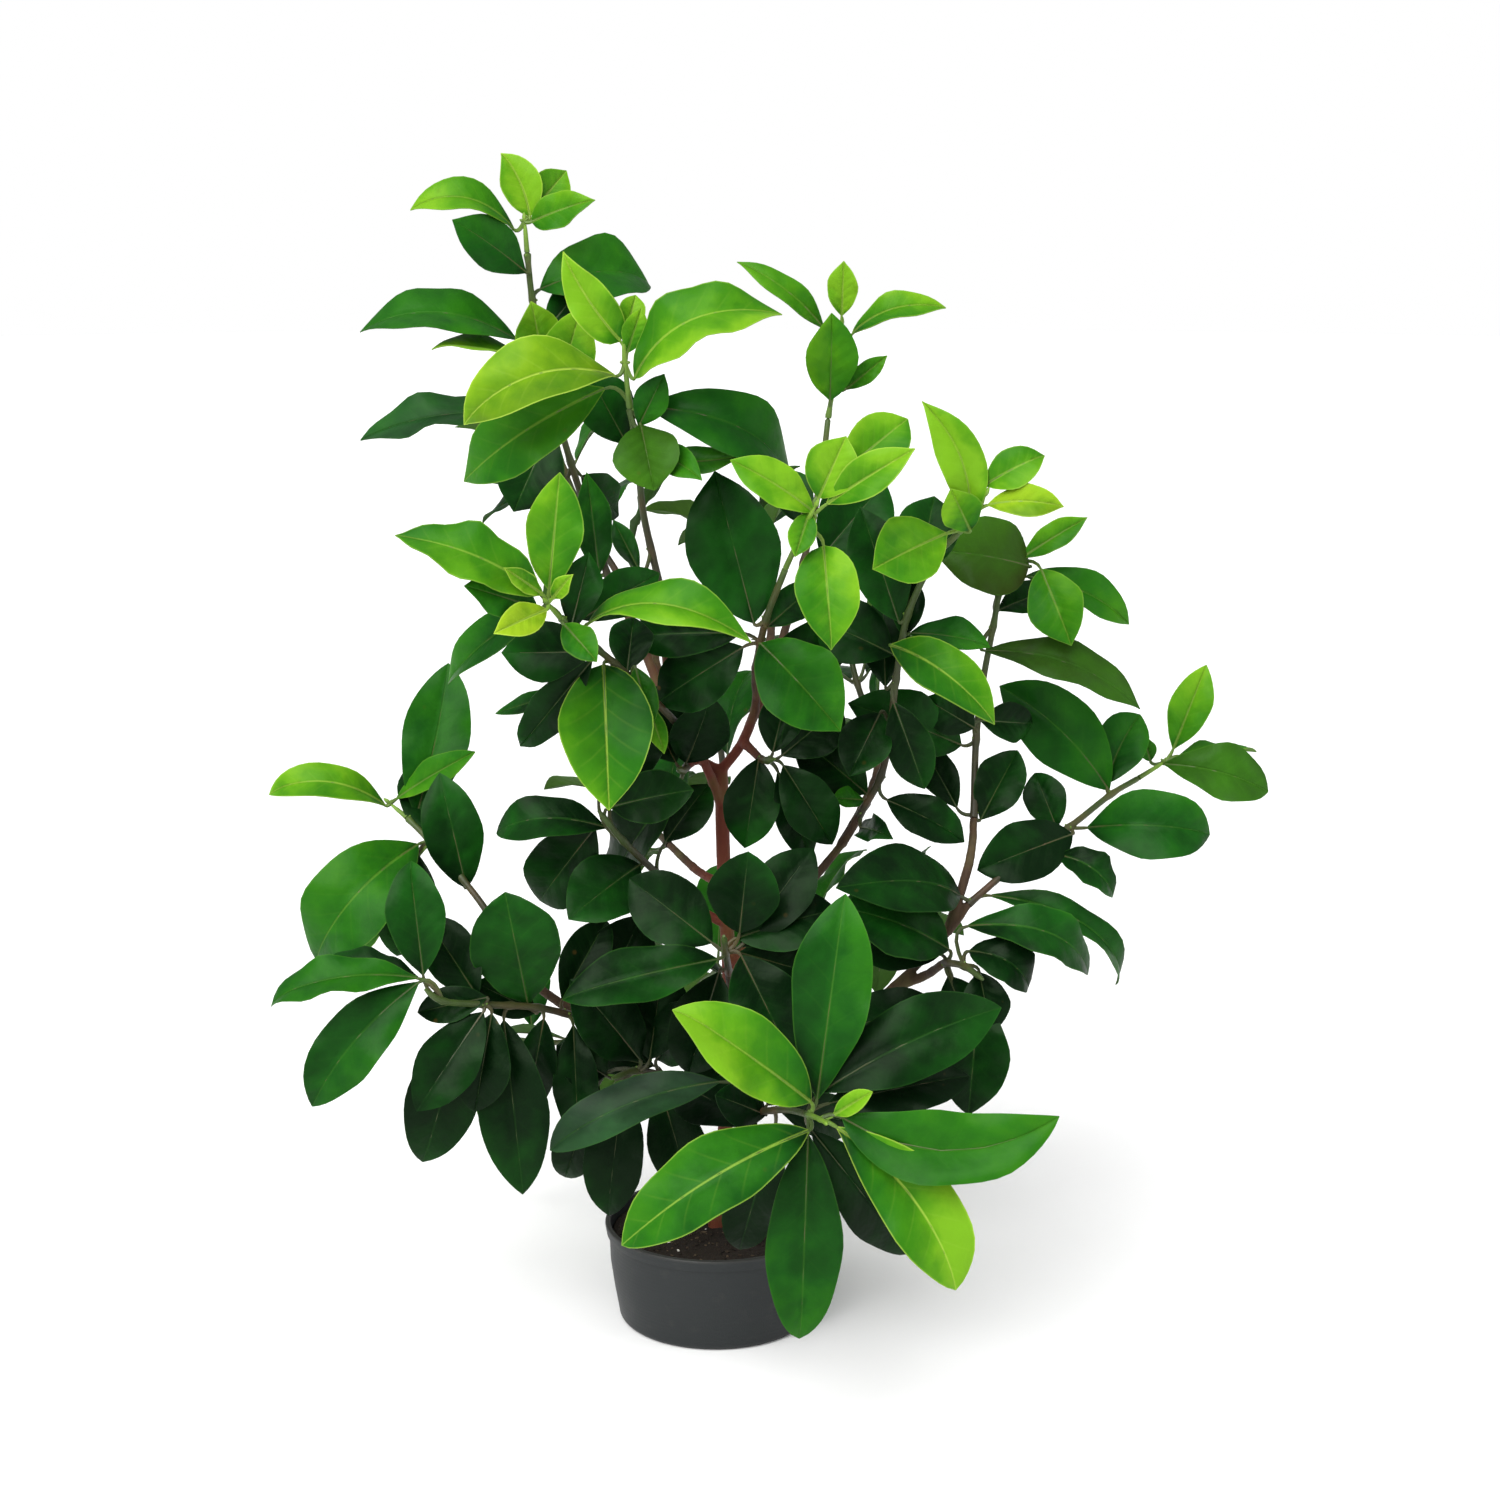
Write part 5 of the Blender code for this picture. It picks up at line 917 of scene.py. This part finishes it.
leafLook = {  # each ramp runs from the oldest leaf to the youngest
    "upper": [(0.0, paint(3, 24, 5)), (0.12, paint(8, 44, 8)), (0.3, paint(17, 68, 13)), (0.5, paint(33, 92, 13)),
              (0.7, paint(50, 108, 12)), (0.86, paint(73, 128, 15)), (1.0, paint(100, 148, 24))],
    "under": [(0.0, paint(44, 74, 34)), (0.5, paint(72, 108, 38)), (1.0, paint(118, 152, 52))],
    "line": [(0.0, paint(26, 68, 24)), (0.4, paint(66, 118, 34)), (1.0, paint(166, 192, 74))],
    # the grey colour is a painted sheen
    "gold": paint(196, 196, 36), "olive": paint(82, 84, 26), "grey": paint(74, 92, 80), "spot": paint(86, 62, 24),
    # painted shade: the colour that leaves hidden from the sky by the bush darken towards, and how far
    "deep": paint(2, 13, 4), "paintedShadeFrom": 0.3, "paintedShadeMost": 0.9, "paintedShadeYouth": 0.45,
    # painted shade: old leaves low in the bush also darken towards the shade colour
    "lowBelow": 0.3, "lowShadeYouth": 2.5, "lowMost": 0.5,
    "cloudScale": 60, "grainScale": 420, "spotScale": 95, "spotPatches": 24, "spotSize": 0.16, "spotMost": 0.6,
    # widths in mm
    "ribWidth": 0.85, "ribTaper": 0.6, "marginWidth": 0.5, "lineSoftness": 0.6, "veinWidth": 0.5, "veinSoftness": 1.2,
    "veins": 6.5, "lean": 1.1, "leanEase": 1.4, "veinOffset": 0.4,
    "freshFrom": 0.35, "sunnyUnder": 0.35, "sunny": 0.4, "shade": 0.05, "clouds": 0.34, "freshClouds": 0.3,
    # footEnd, foot and sideways set the painted shade at a leaf's foot and between its two halves
    "lengthwise": 0.5, "footEnd": 0.16, "foot": 0.9, "sideways": 0.26, "spread": 0.9, "freshSpread": 2.4,
    "vein": (0.03, 0.08), "veinUnder": 0.2, "rib": (0.12, 0.7), "margin": (0.06, 0.7), "freshLine": 0.3,
    "rough": 0.64, "glossy": (0.22, 0.10), "grain": 0.14, "coat": 0.05, "bump": 0.8,
    "veinRelief": 0.3, "ribRelief": 0.3, "grainRelief": 0.08, "cloudRelief": 1.8,
}


def leafFinish():
    s = leafLook
    f = Finish(
        "laurustinusLeaf", Specular_IOR_Level=0.09, Specular_Tint=(0.6, 1, 0.5, 1), Coat_Roughness=0.25, IOR=1.45
    )
    across, along, upper = f.attribute("leafPlace")
    half, length, phase = f.attribute("leafSize")
    youth, shade, pale = f.attribute("leafKind")
    gold, olive, grey = f.attribute("leafHueAndSheen")
    sheltered = f.attribute("leafShelter")[0]
    clouds, fine = f.clouds(s["cloudScale"], 3), f.clouds(s["grainScale"], 2)
    out, fresh = abs(across), (youth - s["freshFrom"]).clamped()
    fromRib, fromMargin = out * half, (1 - out) * half
    rib = fromRib.within(s["ribWidth"] - s["ribTaper"] * along, s["lineSoftness"])
    margin = fromMargin.within(s["marginWidth"], s["lineSoftness"])
    lean = fromRib / length
    order = (along - lean * s["lean"] + lean * lean * s["leanEase"]) * s["veins"]
    order = order + phase + across.maths("GREATER_THAN", across, 0) * s["veinOffset"]
    between = abs(order.fraction() - 0.5)  # 0 on a vein, 0.5 midway
    inner = 1 - out * out
    vein = (between * length / s["veins"]).within(s["veinWidth"], s["veinSoftness"]) * inner

    # painted shade: a darker foot by the stem, and one half darker than the other as the two halves of the fold face
    # the light differently; the tip is mostly lighter
    lengthwise = (along - 0.5) * (phase - 0.3) * s["lengthwise"] - (s["footEnd"] - along).clamped() * s["foot"]
    sideways = across * ((phase * 7.3).fraction() - 0.5) * s["sideways"]
    # painted light: leaves that the bush leaves open to the sky are made lighter
    tone = youth + (s["sunnyUnder"] - sheltered).clamped() * s["sunny"] + shade * s["shade"]
    tone = tone + (clouds - 0.5) * (s["clouds"] + s["freshClouds"] * fresh)
    tone = (tone + (lengthwise + sideways) * (s["spread"] + fresh * s["freshSpread"])).clamped()
    top = f.ramp(tone, s["upper"])
    top = f.blend((gold * (1 + 1.6 * (clouds - 0.5))).clamped(), top, s["gold"])
    top = f.blend(olive, top, s["olive"])
    # painted sheen: some dark leaves are blended towards a grey-green that stands for a reflected sheen
    top = f.blend(grey, top, s["grey"])
    line = f.ramp((youth + pale * 0.25).clamped(), s["line"])
    top = f.blend(vein * (s["vein"][0] + s["vein"][1] * pale), top, line)
    for lined, (least, more) in ((rib, s["rib"]), (margin, s["margin"])):
        top = f.blend(lined * (least + more * pale + s["freshLine"] * fresh).clamped(), top, line)
    below = f.ramp((youth + (clouds - 0.5) * 0.2).clamped(), s["under"])
    colour = f.blend(upper, f.blend(vein * s["veinUnder"], below, line), top)

    # painted shade: a leaf darkens where the bush hides the sky from it, young leaves less
    deep = ((sheltered - s["paintedShadeFrom"]) / (1 - s["paintedShadeFrom"])).clamped() * (s["paintedShadeMost"] - s["paintedShadeYouth"] * youth)
    # painted shade: old leaves low in the bush darken too
    low = (1 - f.height() / s["lowBelow"]).clamped() * (1 - youth * s["lowShadeYouth"]).clamped() * s["lowMost"]
    colour = f.blend((deep + low).clamped(), colour, s["deep"])
    spots = f.grains(s["spotScale"]).under(s["spotSize"], 12) * f.clouds(s["spotPatches"], 1).above(0.62, 8)
    colour = f.blend(spots * (1 - youth) * s["spotMost"], colour, s["spot"])
    relief = (between * 2 * inner) * s["veinRelief"] - rib * s["ribRelief"]
    relief = relief + (fine - 0.5) * s["grainRelief"] + (clouds - 0.5) * s["cloudRelief"]
    rough = s["rough"] - upper * (s["glossy"][0] - s["glossy"][1] * youth) + (fine - 0.5) * s["grain"]
    f.surface(Base_Color=colour, Roughness=rough, Coat_Weight=upper * s["coat"], Normal=f.bump(relief, s["bump"]))
    return f


stemLook = {
    "tones": [(0.0, paint(46, 40, 28)), (0.25, paint(54, 52, 30)), (0.5, paint(56, 74, 30)), (0.75, paint(76, 104, 36)),
              (1.0, paint(108, 142, 44))],
    "blush": paint(104, 62, 42), "blushMost": 0.7, "dot": paint(140, 128, 96), "dotMost": 0.7,
    # painted shade for stems that the bush hides from the sky
    "deep": paint(12, 14, 8), "paintedShadeMost": 0.7, "paintedShadeYouth": 0.2, "rough": 0.5,
}


def stemFinish():
    s = stemLook
    f = Finish("greenStem", Specular_IOR_Level=0.35)
    youth = f.attribute("leafKind")[0]
    clouds, fine = f.clouds(120, 3), f.clouds(900, 2)
    colour = f.ramp((youth + (clouds - 0.5) * 0.3).clamped(), s["tones"])
    colour = f.blend(f.clouds(60, 1).above(0.5, 3) * (s["blushMost"] - s["blushMost"] * youth), colour, s["blush"])
    dots = f.grains(700).under(0.10, 14) * (1 - youth)
    colour = f.blend(dots * s["dotMost"], colour, s["dot"])
    # painted shade: stems darken where the bush hides the sky from them, young ones less
    deep = (f.attribute("leafShelter")[0] * s["paintedShadeMost"] - s["paintedShadeYouth"] * youth).clamped()
    colour = f.blend(deep, colour, s["deep"])
    relief = (fine - 0.5) * 0.12 + dots * 0.1 + (clouds - 0.5) * 0.2
    f.surface(Base_Color=colour, Roughness=s["rough"] + (fine - 0.5) * 0.2, Normal=f.bump(relief))
    return f


trunkShape = {
    "sides": 16, "voxel": 0.88 * mm, "smoothing": 4, "easing": 0.5, "sharpAngle": 60,
    "lumps": (0.35 * mm, 160, 60), "ridges": (0.16 * mm, 700, 120),  # height, then how fine around and along
}


def makeWood(woodCurves, finish):
    s = trunkShape
    whole = bmesh.new()
    for name, curve in woodCurves.items():
        radii = coarse["trunkRadii" if name == "trunk" else "branchRadii"]
        sizes = [partWay(radii, i, len(curve) - 1) for i in range(len(curve))]
        pourInto(whole, meshFrom(tubeMesh(curve, sizes, s["sides"]), "part"))
    holder = addObject("woodRough", meshFrom(whole, "woodRough"))
    fusing = holder.modifiers.new("fusing", "REMESH")
    fusing.mode = "VOXEL"
    fusing.voxel_size = s["voxel"]
    easing = holder.modifiers.new("easing", "SMOOTH")
    easing.iterations = s["smoothing"]
    easing.factor = s["easing"]
    bm = bmesh.new()
    pourInto(bm, appliedMesh(holder))
    bm.normal_update()
    for vert in bm.verts:
        x, y, z = vert.co
        height = 0
        for rise, around, along in (s["lumps"], s["ridges"]):
            height += rise * noise.noise(Vector((x * around, y * around, z * along)))
        vert.co += vert.normal * height
    finishPiece(bm, "trunkAndBranches", [finish], ["trunk"], s["sharpAngle"])


barkLook = {
    "tones": [(0.0, paint(28, 20, 14)), (0.4, paint(54, 38, 26)), (0.7, paint(78, 58, 38)), (1.0, paint(112, 92, 66))],
    "blush": paint(140, 54, 38), "blushReach": 0.03, "blushMost": 0.45, "green": paint(92, 98, 46), "greenMost": 0.4,
    "rough": 0.72, "bump": 0.9,
}


def barkFinish():  # redder near the middle of the bush than out along the branches
    s = barkLook
    f = Finish("youngBark", Specular_IOR_Level=0.3)
    streaks, patches = f.clouds(260, 4, (1, 1, 0.16), 0.6), f.clouds(38, 2)
    colour = f.ramp((streaks * 0.75 + patches * 0.3).clamped(), s["tones"])
    fromAxis = f.node("ShaderNodeVectorMath", {"operation": "LENGTH"}, [f.place((1, 1, 0))], 1)
    colour = f.blend((1.5 - fromAxis / s["blushReach"]).clamped() * s["blushMost"], colour, s["blush"])
    colour = f.blend(patches.above(0.52, 5) * s["greenMost"], colour, s["green"])
    relief = (streaks - 0.5) * 0.5 + f.grains(420).under(0.12, 6) * 0.3
    rough = s["rough"] + (streaks - 0.5) * 0.2
    f.surface(Base_Color=colour, Roughness=rough, Normal=f.bump(relief, s["bump"]))
    return f


potShape = {
    "rimRadius": 0.065, "baseRadius": 0.057, "height": 0.058, "wall": 1.6 * mm, "lipHeight": 7 * mm,
    "lipProud": 1.6 * mm, "baseRound": 4 * mm, "roundSteps": 6, "sides": 120, "sharpAngle": 35,
    "drains": 5, "drainRadius": 4 * mm, "drainRing": 0.040, "drainTurn": 0.28, "drainSides": 20,
}


def potRadius(height):
    return partWay((potShape["baseRadius"], potShape["rimRadius"]), height, potShape["height"])


def turnedMesh(profile, sides):
    bm = bmesh.new()
    ring = [bm.verts.new((radius, 0, height)) for radius, height in profile]
    edges = [bm.edges.new(pair) for pair in zip(ring, ring[1:])]
    bmesh.ops.spin(
        bm, geom=[*ring, *edges], cent=(0, 0, 0), axis=up, angle=math.tau, steps=sides, use_merge=True,
        use_duplicate=False,
    )
    bmesh.ops.remove_doubles(bm, verts=bm.verts, dist=0.01 * mm)
    bmesh.ops.recalc_face_normals(bm, faces=bm.faces)
    return bm


def makePot(finish):
    s = potShape
    wall, proud, rim, top = s["wall"], s["lipProud"], s["rimRadius"], s["height"]
    lip = top - s["lipHeight"]
    lipRadius, neckRadius, innerRim = potRadius(lip), potRadius(lip) - proud, rim - wall - proud
    foot = []
    for i in range(s["roundSteps"] + 1):
        angle = math.radians(90 * i / s["roundSteps"])
        foot.append((s["baseRadius"] - s["baseRound"] * (1 - math.sin(angle)), s["baseRound"] * (1 - math.cos(angle))))
    outside = [
        (0, 0.6 * mm), (0.020, 0.6 * mm), (0.021, 0), (0.030, 0), *foot, (potRadius(0.02), 0.02),
        (potRadius(0.035), 0.035), (neckRadius, lip - 0.2 * mm), (lipRadius - proud * 0.5, lip + 0.1 * mm),
        (lipRadius - 0.2 * mm, lip + 0.35 * mm), (lipRadius, lip + 0.9 * mm), (rim - 0.1 * mm, top - 1.2 * mm),
        (rim - 0.15 * mm, top - 0.6 * mm), (rim - 0.5 * mm, top - 0.15 * mm), (rim - 1.0 * mm, top),
    ]
    inside = [
        (innerRim + 0.4 * mm, top), (innerRim, top - 0.4 * mm), (lipRadius - wall - proud, lip - 1 * mm),
        (potRadius(0.02) - wall - proud * 0.7, 0.02), (potRadius(4.6 * mm) - wall - proud / 2, wall + 3 * mm),
        (potRadius(wall) - wall - 3 * mm, wall), (0, wall),
    ]
    holder = addObject("potRough", meshFrom(turnedMesh(outside + inside, s["sides"]), "potRough"))
    cutters = []
    for i in range(s["drains"]):
        angle = math.tau * (i + s["drainTurn"]) / s["drains"]
        spot = Matrix.Translation((math.cos(angle) * s["drainRing"], math.sin(angle) * s["drainRing"], wall / 2))
        bm, radius = bmesh.new(), s["drainRadius"]
        bmesh.ops.create_cone(
            bm, cap_ends=True, segments=s["drainSides"], radius1=radius, radius2=radius, depth=wall * 3, matrix=spot
        )
        cutters.append(addObject("drill", meshFrom(bm, "drill")))
        cut = holder.modifiers.new("drain", "BOOLEAN")
        cut.operation = "DIFFERENCE"
        cut.object = cutters[-1]
    bm = bmesh.new()
    pourInto(bm, appliedMesh(holder, *cutters))
    finishPiece(bm, "nurseryPot", [finish], ["pot"], s["sharpAngle"])


potLook = {
    "plastic": paint(19, 24, 25), "worn": paint(28, 33, 34), "wornMost": 0.5, "dust": paint(62, 60, 54),
    "rimDust": 0.35, "rimDepth": 2 * mm, "dustMost": 0.25, "rough": 0.52,
}


def potFinish():
    s = potLook
    f = Finish("potPlastic", Specular_IOR_Level=0.4)
    grain, patches = f.clouds(1400, 2), f.clouds(26, 3)
    height = f.height()
    colour = f.blend(patches.above(0.45, 2) * s["wornMost"], s["plastic"], s["worn"])
    rim = ((height - (potShape["height"] - s["rimDepth"])) / s["rimDepth"]).clamped()
    dust = (rim * s["rimDust"] + f.clouds(90, 4).above(0.58, 4) * s["dustMost"]).clamped()
    colour = f.blend(dust, colour, s["dust"])
    ringMarks = height.maths("SINE", height * 2600) * 0.015
    rough = s["rough"] + (patches - 0.5) * 0.2
    f.surface(Base_Color=colour, Roughness=rough, Normal=f.bump((grain - 0.5) * 0.08 + ringMarks))
    return f


mixShape = {
    "top": 0.0515, "mound": 2.2 * mm, "lumps": 0.9 * mm, "lumpShare": 0.8, "lumpWaves": (3, 90, 160),
    "flatMiddle": 0.02, "crumble": 1.0 * mm, "crumbles": ((260, 3.1, 0.6), (700, 8.4, 0.4)), "rings": 30, "sides": 120,
    "crumbs": 520, "crumbSize": (0.8 * mm, 2.6 * mm), "crumbPlaces": (0.012, 0.88), "crumbLift": 0.12,
    "crumbStretch": ((0.9, 1.8), (0.6, 1.0), (0.4, 0.8)), "wobble": (0.75, 1.15), "tilt": 0.6,
    "whiteShare": 0.025, "whiteStretch": (1, 0.9, 0.8), "darkKinds": (0.1, 0.75), "bedKind": 0.3, "seed": 4,
}


def mixHeight(x, y):
    s = mixShape
    radius, angle = math.hypot(x, y), math.atan2(y, x)
    around, twist, outward = s["lumpWaves"]
    lumps = s["lumps"] * math.sin(around * angle + twist * radius) * math.sin(outward * radius)
    lumps *= min(1, radius / s["flatMiddle"])
    fine = sum(noise.noise(Vector((x * scale, y * scale, layer))) * share for scale, layer, share in s["crumbles"])
    mound = s["mound"] * (1 - radius / potShape["rimRadius"])
    return s["top"] + mound + lumps * s["lumpShare"] + fine * s["crumble"]


def mixBed(edge, lip, wall):  # the body of the mix, hollow under the trunk's foot
    s = mixShape
    hole, floor = coarse["trunkRadii"][0] + 0.4 * mm, wall + 0.3 * mm
    footHeight = coarse["trunkFoot"] - 0.3 * mm
    profile = [(0, footHeight), (hole, footHeight)]
    profile += [(partWay((hole, edge), i, s["rings"]), s["top"]) for i in range(s["rings"] + 1)]
    profile += [(edge, lip - 2 * mm), (potRadius(floor + 4 * mm) - wall - 2.4 * mm, floor + 4 * mm)]
    profile += [(potRadius(floor) - wall - 5.2 * mm, floor), (0, floor)]
    bm = turnedMesh(profile, s["sides"])
    for vert in bm.verts:
        x, y, z = vert.co
        if abs(z - s["top"]) < 0.05 * mm and math.hypot(x, y) < edge - 0.6 * mm:
            vert.co.z = mixHeight(x, y)
    return bm


def makeMix(finish):
    s, wall, lip = mixShape, potShape["wall"], potShape["height"] - potShape["lipHeight"]
    edge = potRadius(lip) - wall - potShape["lipProud"] - 0.6 * mm
    whole = bmesh.new()
    addInto(whole, mixBed(edge, lip, wall), 0, {"leafKind": (s["bedKind"], 0, 0)})
    dice = random.Random(s["seed"])
    for _ in range(s["crumbs"]):
        radius, angle = math.sqrt(dice.uniform(*s["crumbPlaces"])) * edge, dice.uniform(0, math.tau)
        x, y = radius * math.cos(angle), radius * math.sin(angle)
        size = dice.uniform(*s["crumbSize"])
        white = dice.random() < s["whiteShare"]
        bit = bmesh.new()
        bmesh.ops.create_icosphere(bit, subdivisions=1, radius=size / 2)
        stretch = s["whiteStretch"] if white else [dice.uniform(*ends) for ends in s["crumbStretch"]]
        for vert in bit.verts:
            wobble = dice.uniform(*s["wobble"])
            vert.co = Vector(c * more for c, more in zip(vert.co, stretch)) * wobble
        turn = Matrix.Rotation(dice.uniform(0, math.tau), 4, "Z")
        turn = turn @ Matrix.Rotation(dice.uniform(-s["tilt"], s["tilt"]), 4, "X")
        spot = Matrix.Translation((x, y, mixHeight(x, y) + size * s["crumbLift"]))
        bmesh.ops.transform(bit, matrix=spot @ turn, verts=bit.verts[:])
        addInto(whole, bit, 0, {"leafKind": (1.0 if white else dice.uniform(*s["darkKinds"]), 0, 0)})
    finishPiece(whole, "pottingMix", [finish], ["potting_mix"])


mixLook = {
    "tones": [(0.0, paint(20, 17, 14)), (0.3, paint(36, 30, 24)), (0.6, paint(60, 50, 40)), (0.82, paint(98, 84, 66)),
              (0.95, paint(216, 212, 202))],
    "rough": 0.9,
}


def mixFinish():
    f = Finish("pottingMix", Specular_IOR_Level=0.2)
    kind = f.attribute("leafKind")[0]
    crumbs = f.clouds(520, 4, rough=0.65)
    colour = f.ramp((kind + (crumbs - 0.5) * 0.5 * (1 - kind)).clamped(), mixLook["tones"])
    rough, relief = mixLook["rough"] + (crumbs - 0.5) * 0.1, (crumbs - 0.5) * 0.8 + f.grains(900) * 0.3
    f.surface(Base_Color=colour, Roughness=rough, Normal=f.bump(relief))
    return f


shootFinishes = [leafFinish(), stemFinish()]
woodCurves, shootCurves, shootLeaves = growPlant()
print("shoots worked out:", sum(len(leaves) for leaves in shootLeaves.values()), "leaves")
sheltered = shelterMark()
for node, curve in shootCurves.items():
    dressShoot(node, curve, shootLeaves[node], shootFinishes, sheltered)
print("shoots dressed:", len(shootCurves))
makeWood(woodCurves, barkFinish())
print("trunk and branches made")
makePot(potFinish())
makeMix(mixFinish())
print("pot and potting mix made")


studio = {
    "floorSize": 9.0, "floorColour": (0.93, 0.93, 0.93, 1), "floorPatch": paint(235, 235, 232), "floorRough": 0.8,
    "sky": 0.3, "horizon": 1.0, "zenith": 0.75,
    "levels": [(0.0, "sky"), (0.44, "horizon"), (0.54, "horizon"), (0.60, "sky"), (1.0, "zenith")],
    "sunAngle": 60, "sunStrength": 3.9, "sunTurn": (38, -24, 0),
    "lamps": {  # place, size, power and colour
        "softFront": ((-0.9, -1.7, 1.7), 1.1, 10, (1, 0.99, 0.97)),
        "softRight": ((1.6, -0.7, 0.9), 0.9, 4, (0.98, 0.99, 1)),
    },
    "lampTarget": (0, 0, 0.32), "lens": 65.52, "sensor": 36, "tiltDown": 12.4,
}


def makeSky():  # a white horizon, dimmer walls and a bright ceiling
    world = bpy.data.worlds.new("paleStudio")
    bpy.context.scene.world = world
    world.use_nodes = True
    nodes, links = world.node_tree.nodes, world.node_tree.links
    spot = nodes.new("ShaderNodeTexCoord")
    split = nodes.new("ShaderNodeSeparateXYZ")
    share = nodes.new("ShaderNodeMapRange")
    shades = nodes.new("ShaderNodeValToRGB")
    links.new(spot.outputs["Generated"], split.inputs[0])
    links.new(split.outputs["Z"], share.inputs["Value"])
    share.inputs["From Min"].default_value = -1
    links.new(share.outputs["Result"], shades.inputs[0])
    setStops(shades.color_ramp, [(place, (*[studio[level]] * 3, 1)) for place, level in studio["levels"]])
    links.new(shades.outputs[0], nodes["Background"].inputs["Color"])


def makeFloor():
    bm = bmesh.new()
    bmesh.ops.create_circle(bm, cap_ends=True, segments=96, radius=studio["floorSize"])
    mesh = meshFrom(bm, "floor")
    f = Finish("paleFloor", Specular_IOR_Level=0.2)
    colour = f.blend(f.clouds(3, 2) * 0.04, studio["floorColour"], studio["floorPatch"])
    f.surface(Base_Color=colour, Roughness=studio["floorRough"])
    mesh.materials.append(f.material)
    floor = addObject("floor", mesh)


def makeLamps():
    sun = bpy.data.lights.new("softSun", "SUN")
    sun.angle, sun.energy = math.radians(studio["sunAngle"]), studio["sunStrength"]
    addObject("softSun", sun).rotation_euler = [math.radians(a) for a in studio["sunTurn"]]
    for name, (place, size, power, colour) in studio["lamps"].items():
        lamp = bpy.data.lights.new(name, "AREA")
        lamp.size, lamp.energy, lamp.color = size, power, colour
        holder = addObject(name, lamp)
        holder.location = place
        aim = Vector(studio["lampTarget"]) - Vector(place)
        holder.rotation_euler = aim.to_track_quat("-Z", "Y").to_euler()


def makeCamera():
    lens = bpy.data.cameras.new("photoView")
    lens.lens, lens.sensor_width = studio["lens"], studio["sensor"]
    camera = addObject("photoView", lens)
    camera.location = eye
    camera.rotation_euler = (math.radians(90 - studio["tiltDown"]), 0, 0)
    bpy.context.scene.camera = camera
    bpy.context.scene.view_settings.view_transform = "Standard"


makeFloor()
makeSky()
makeLamps()
makeCamera()
print("studio ready")
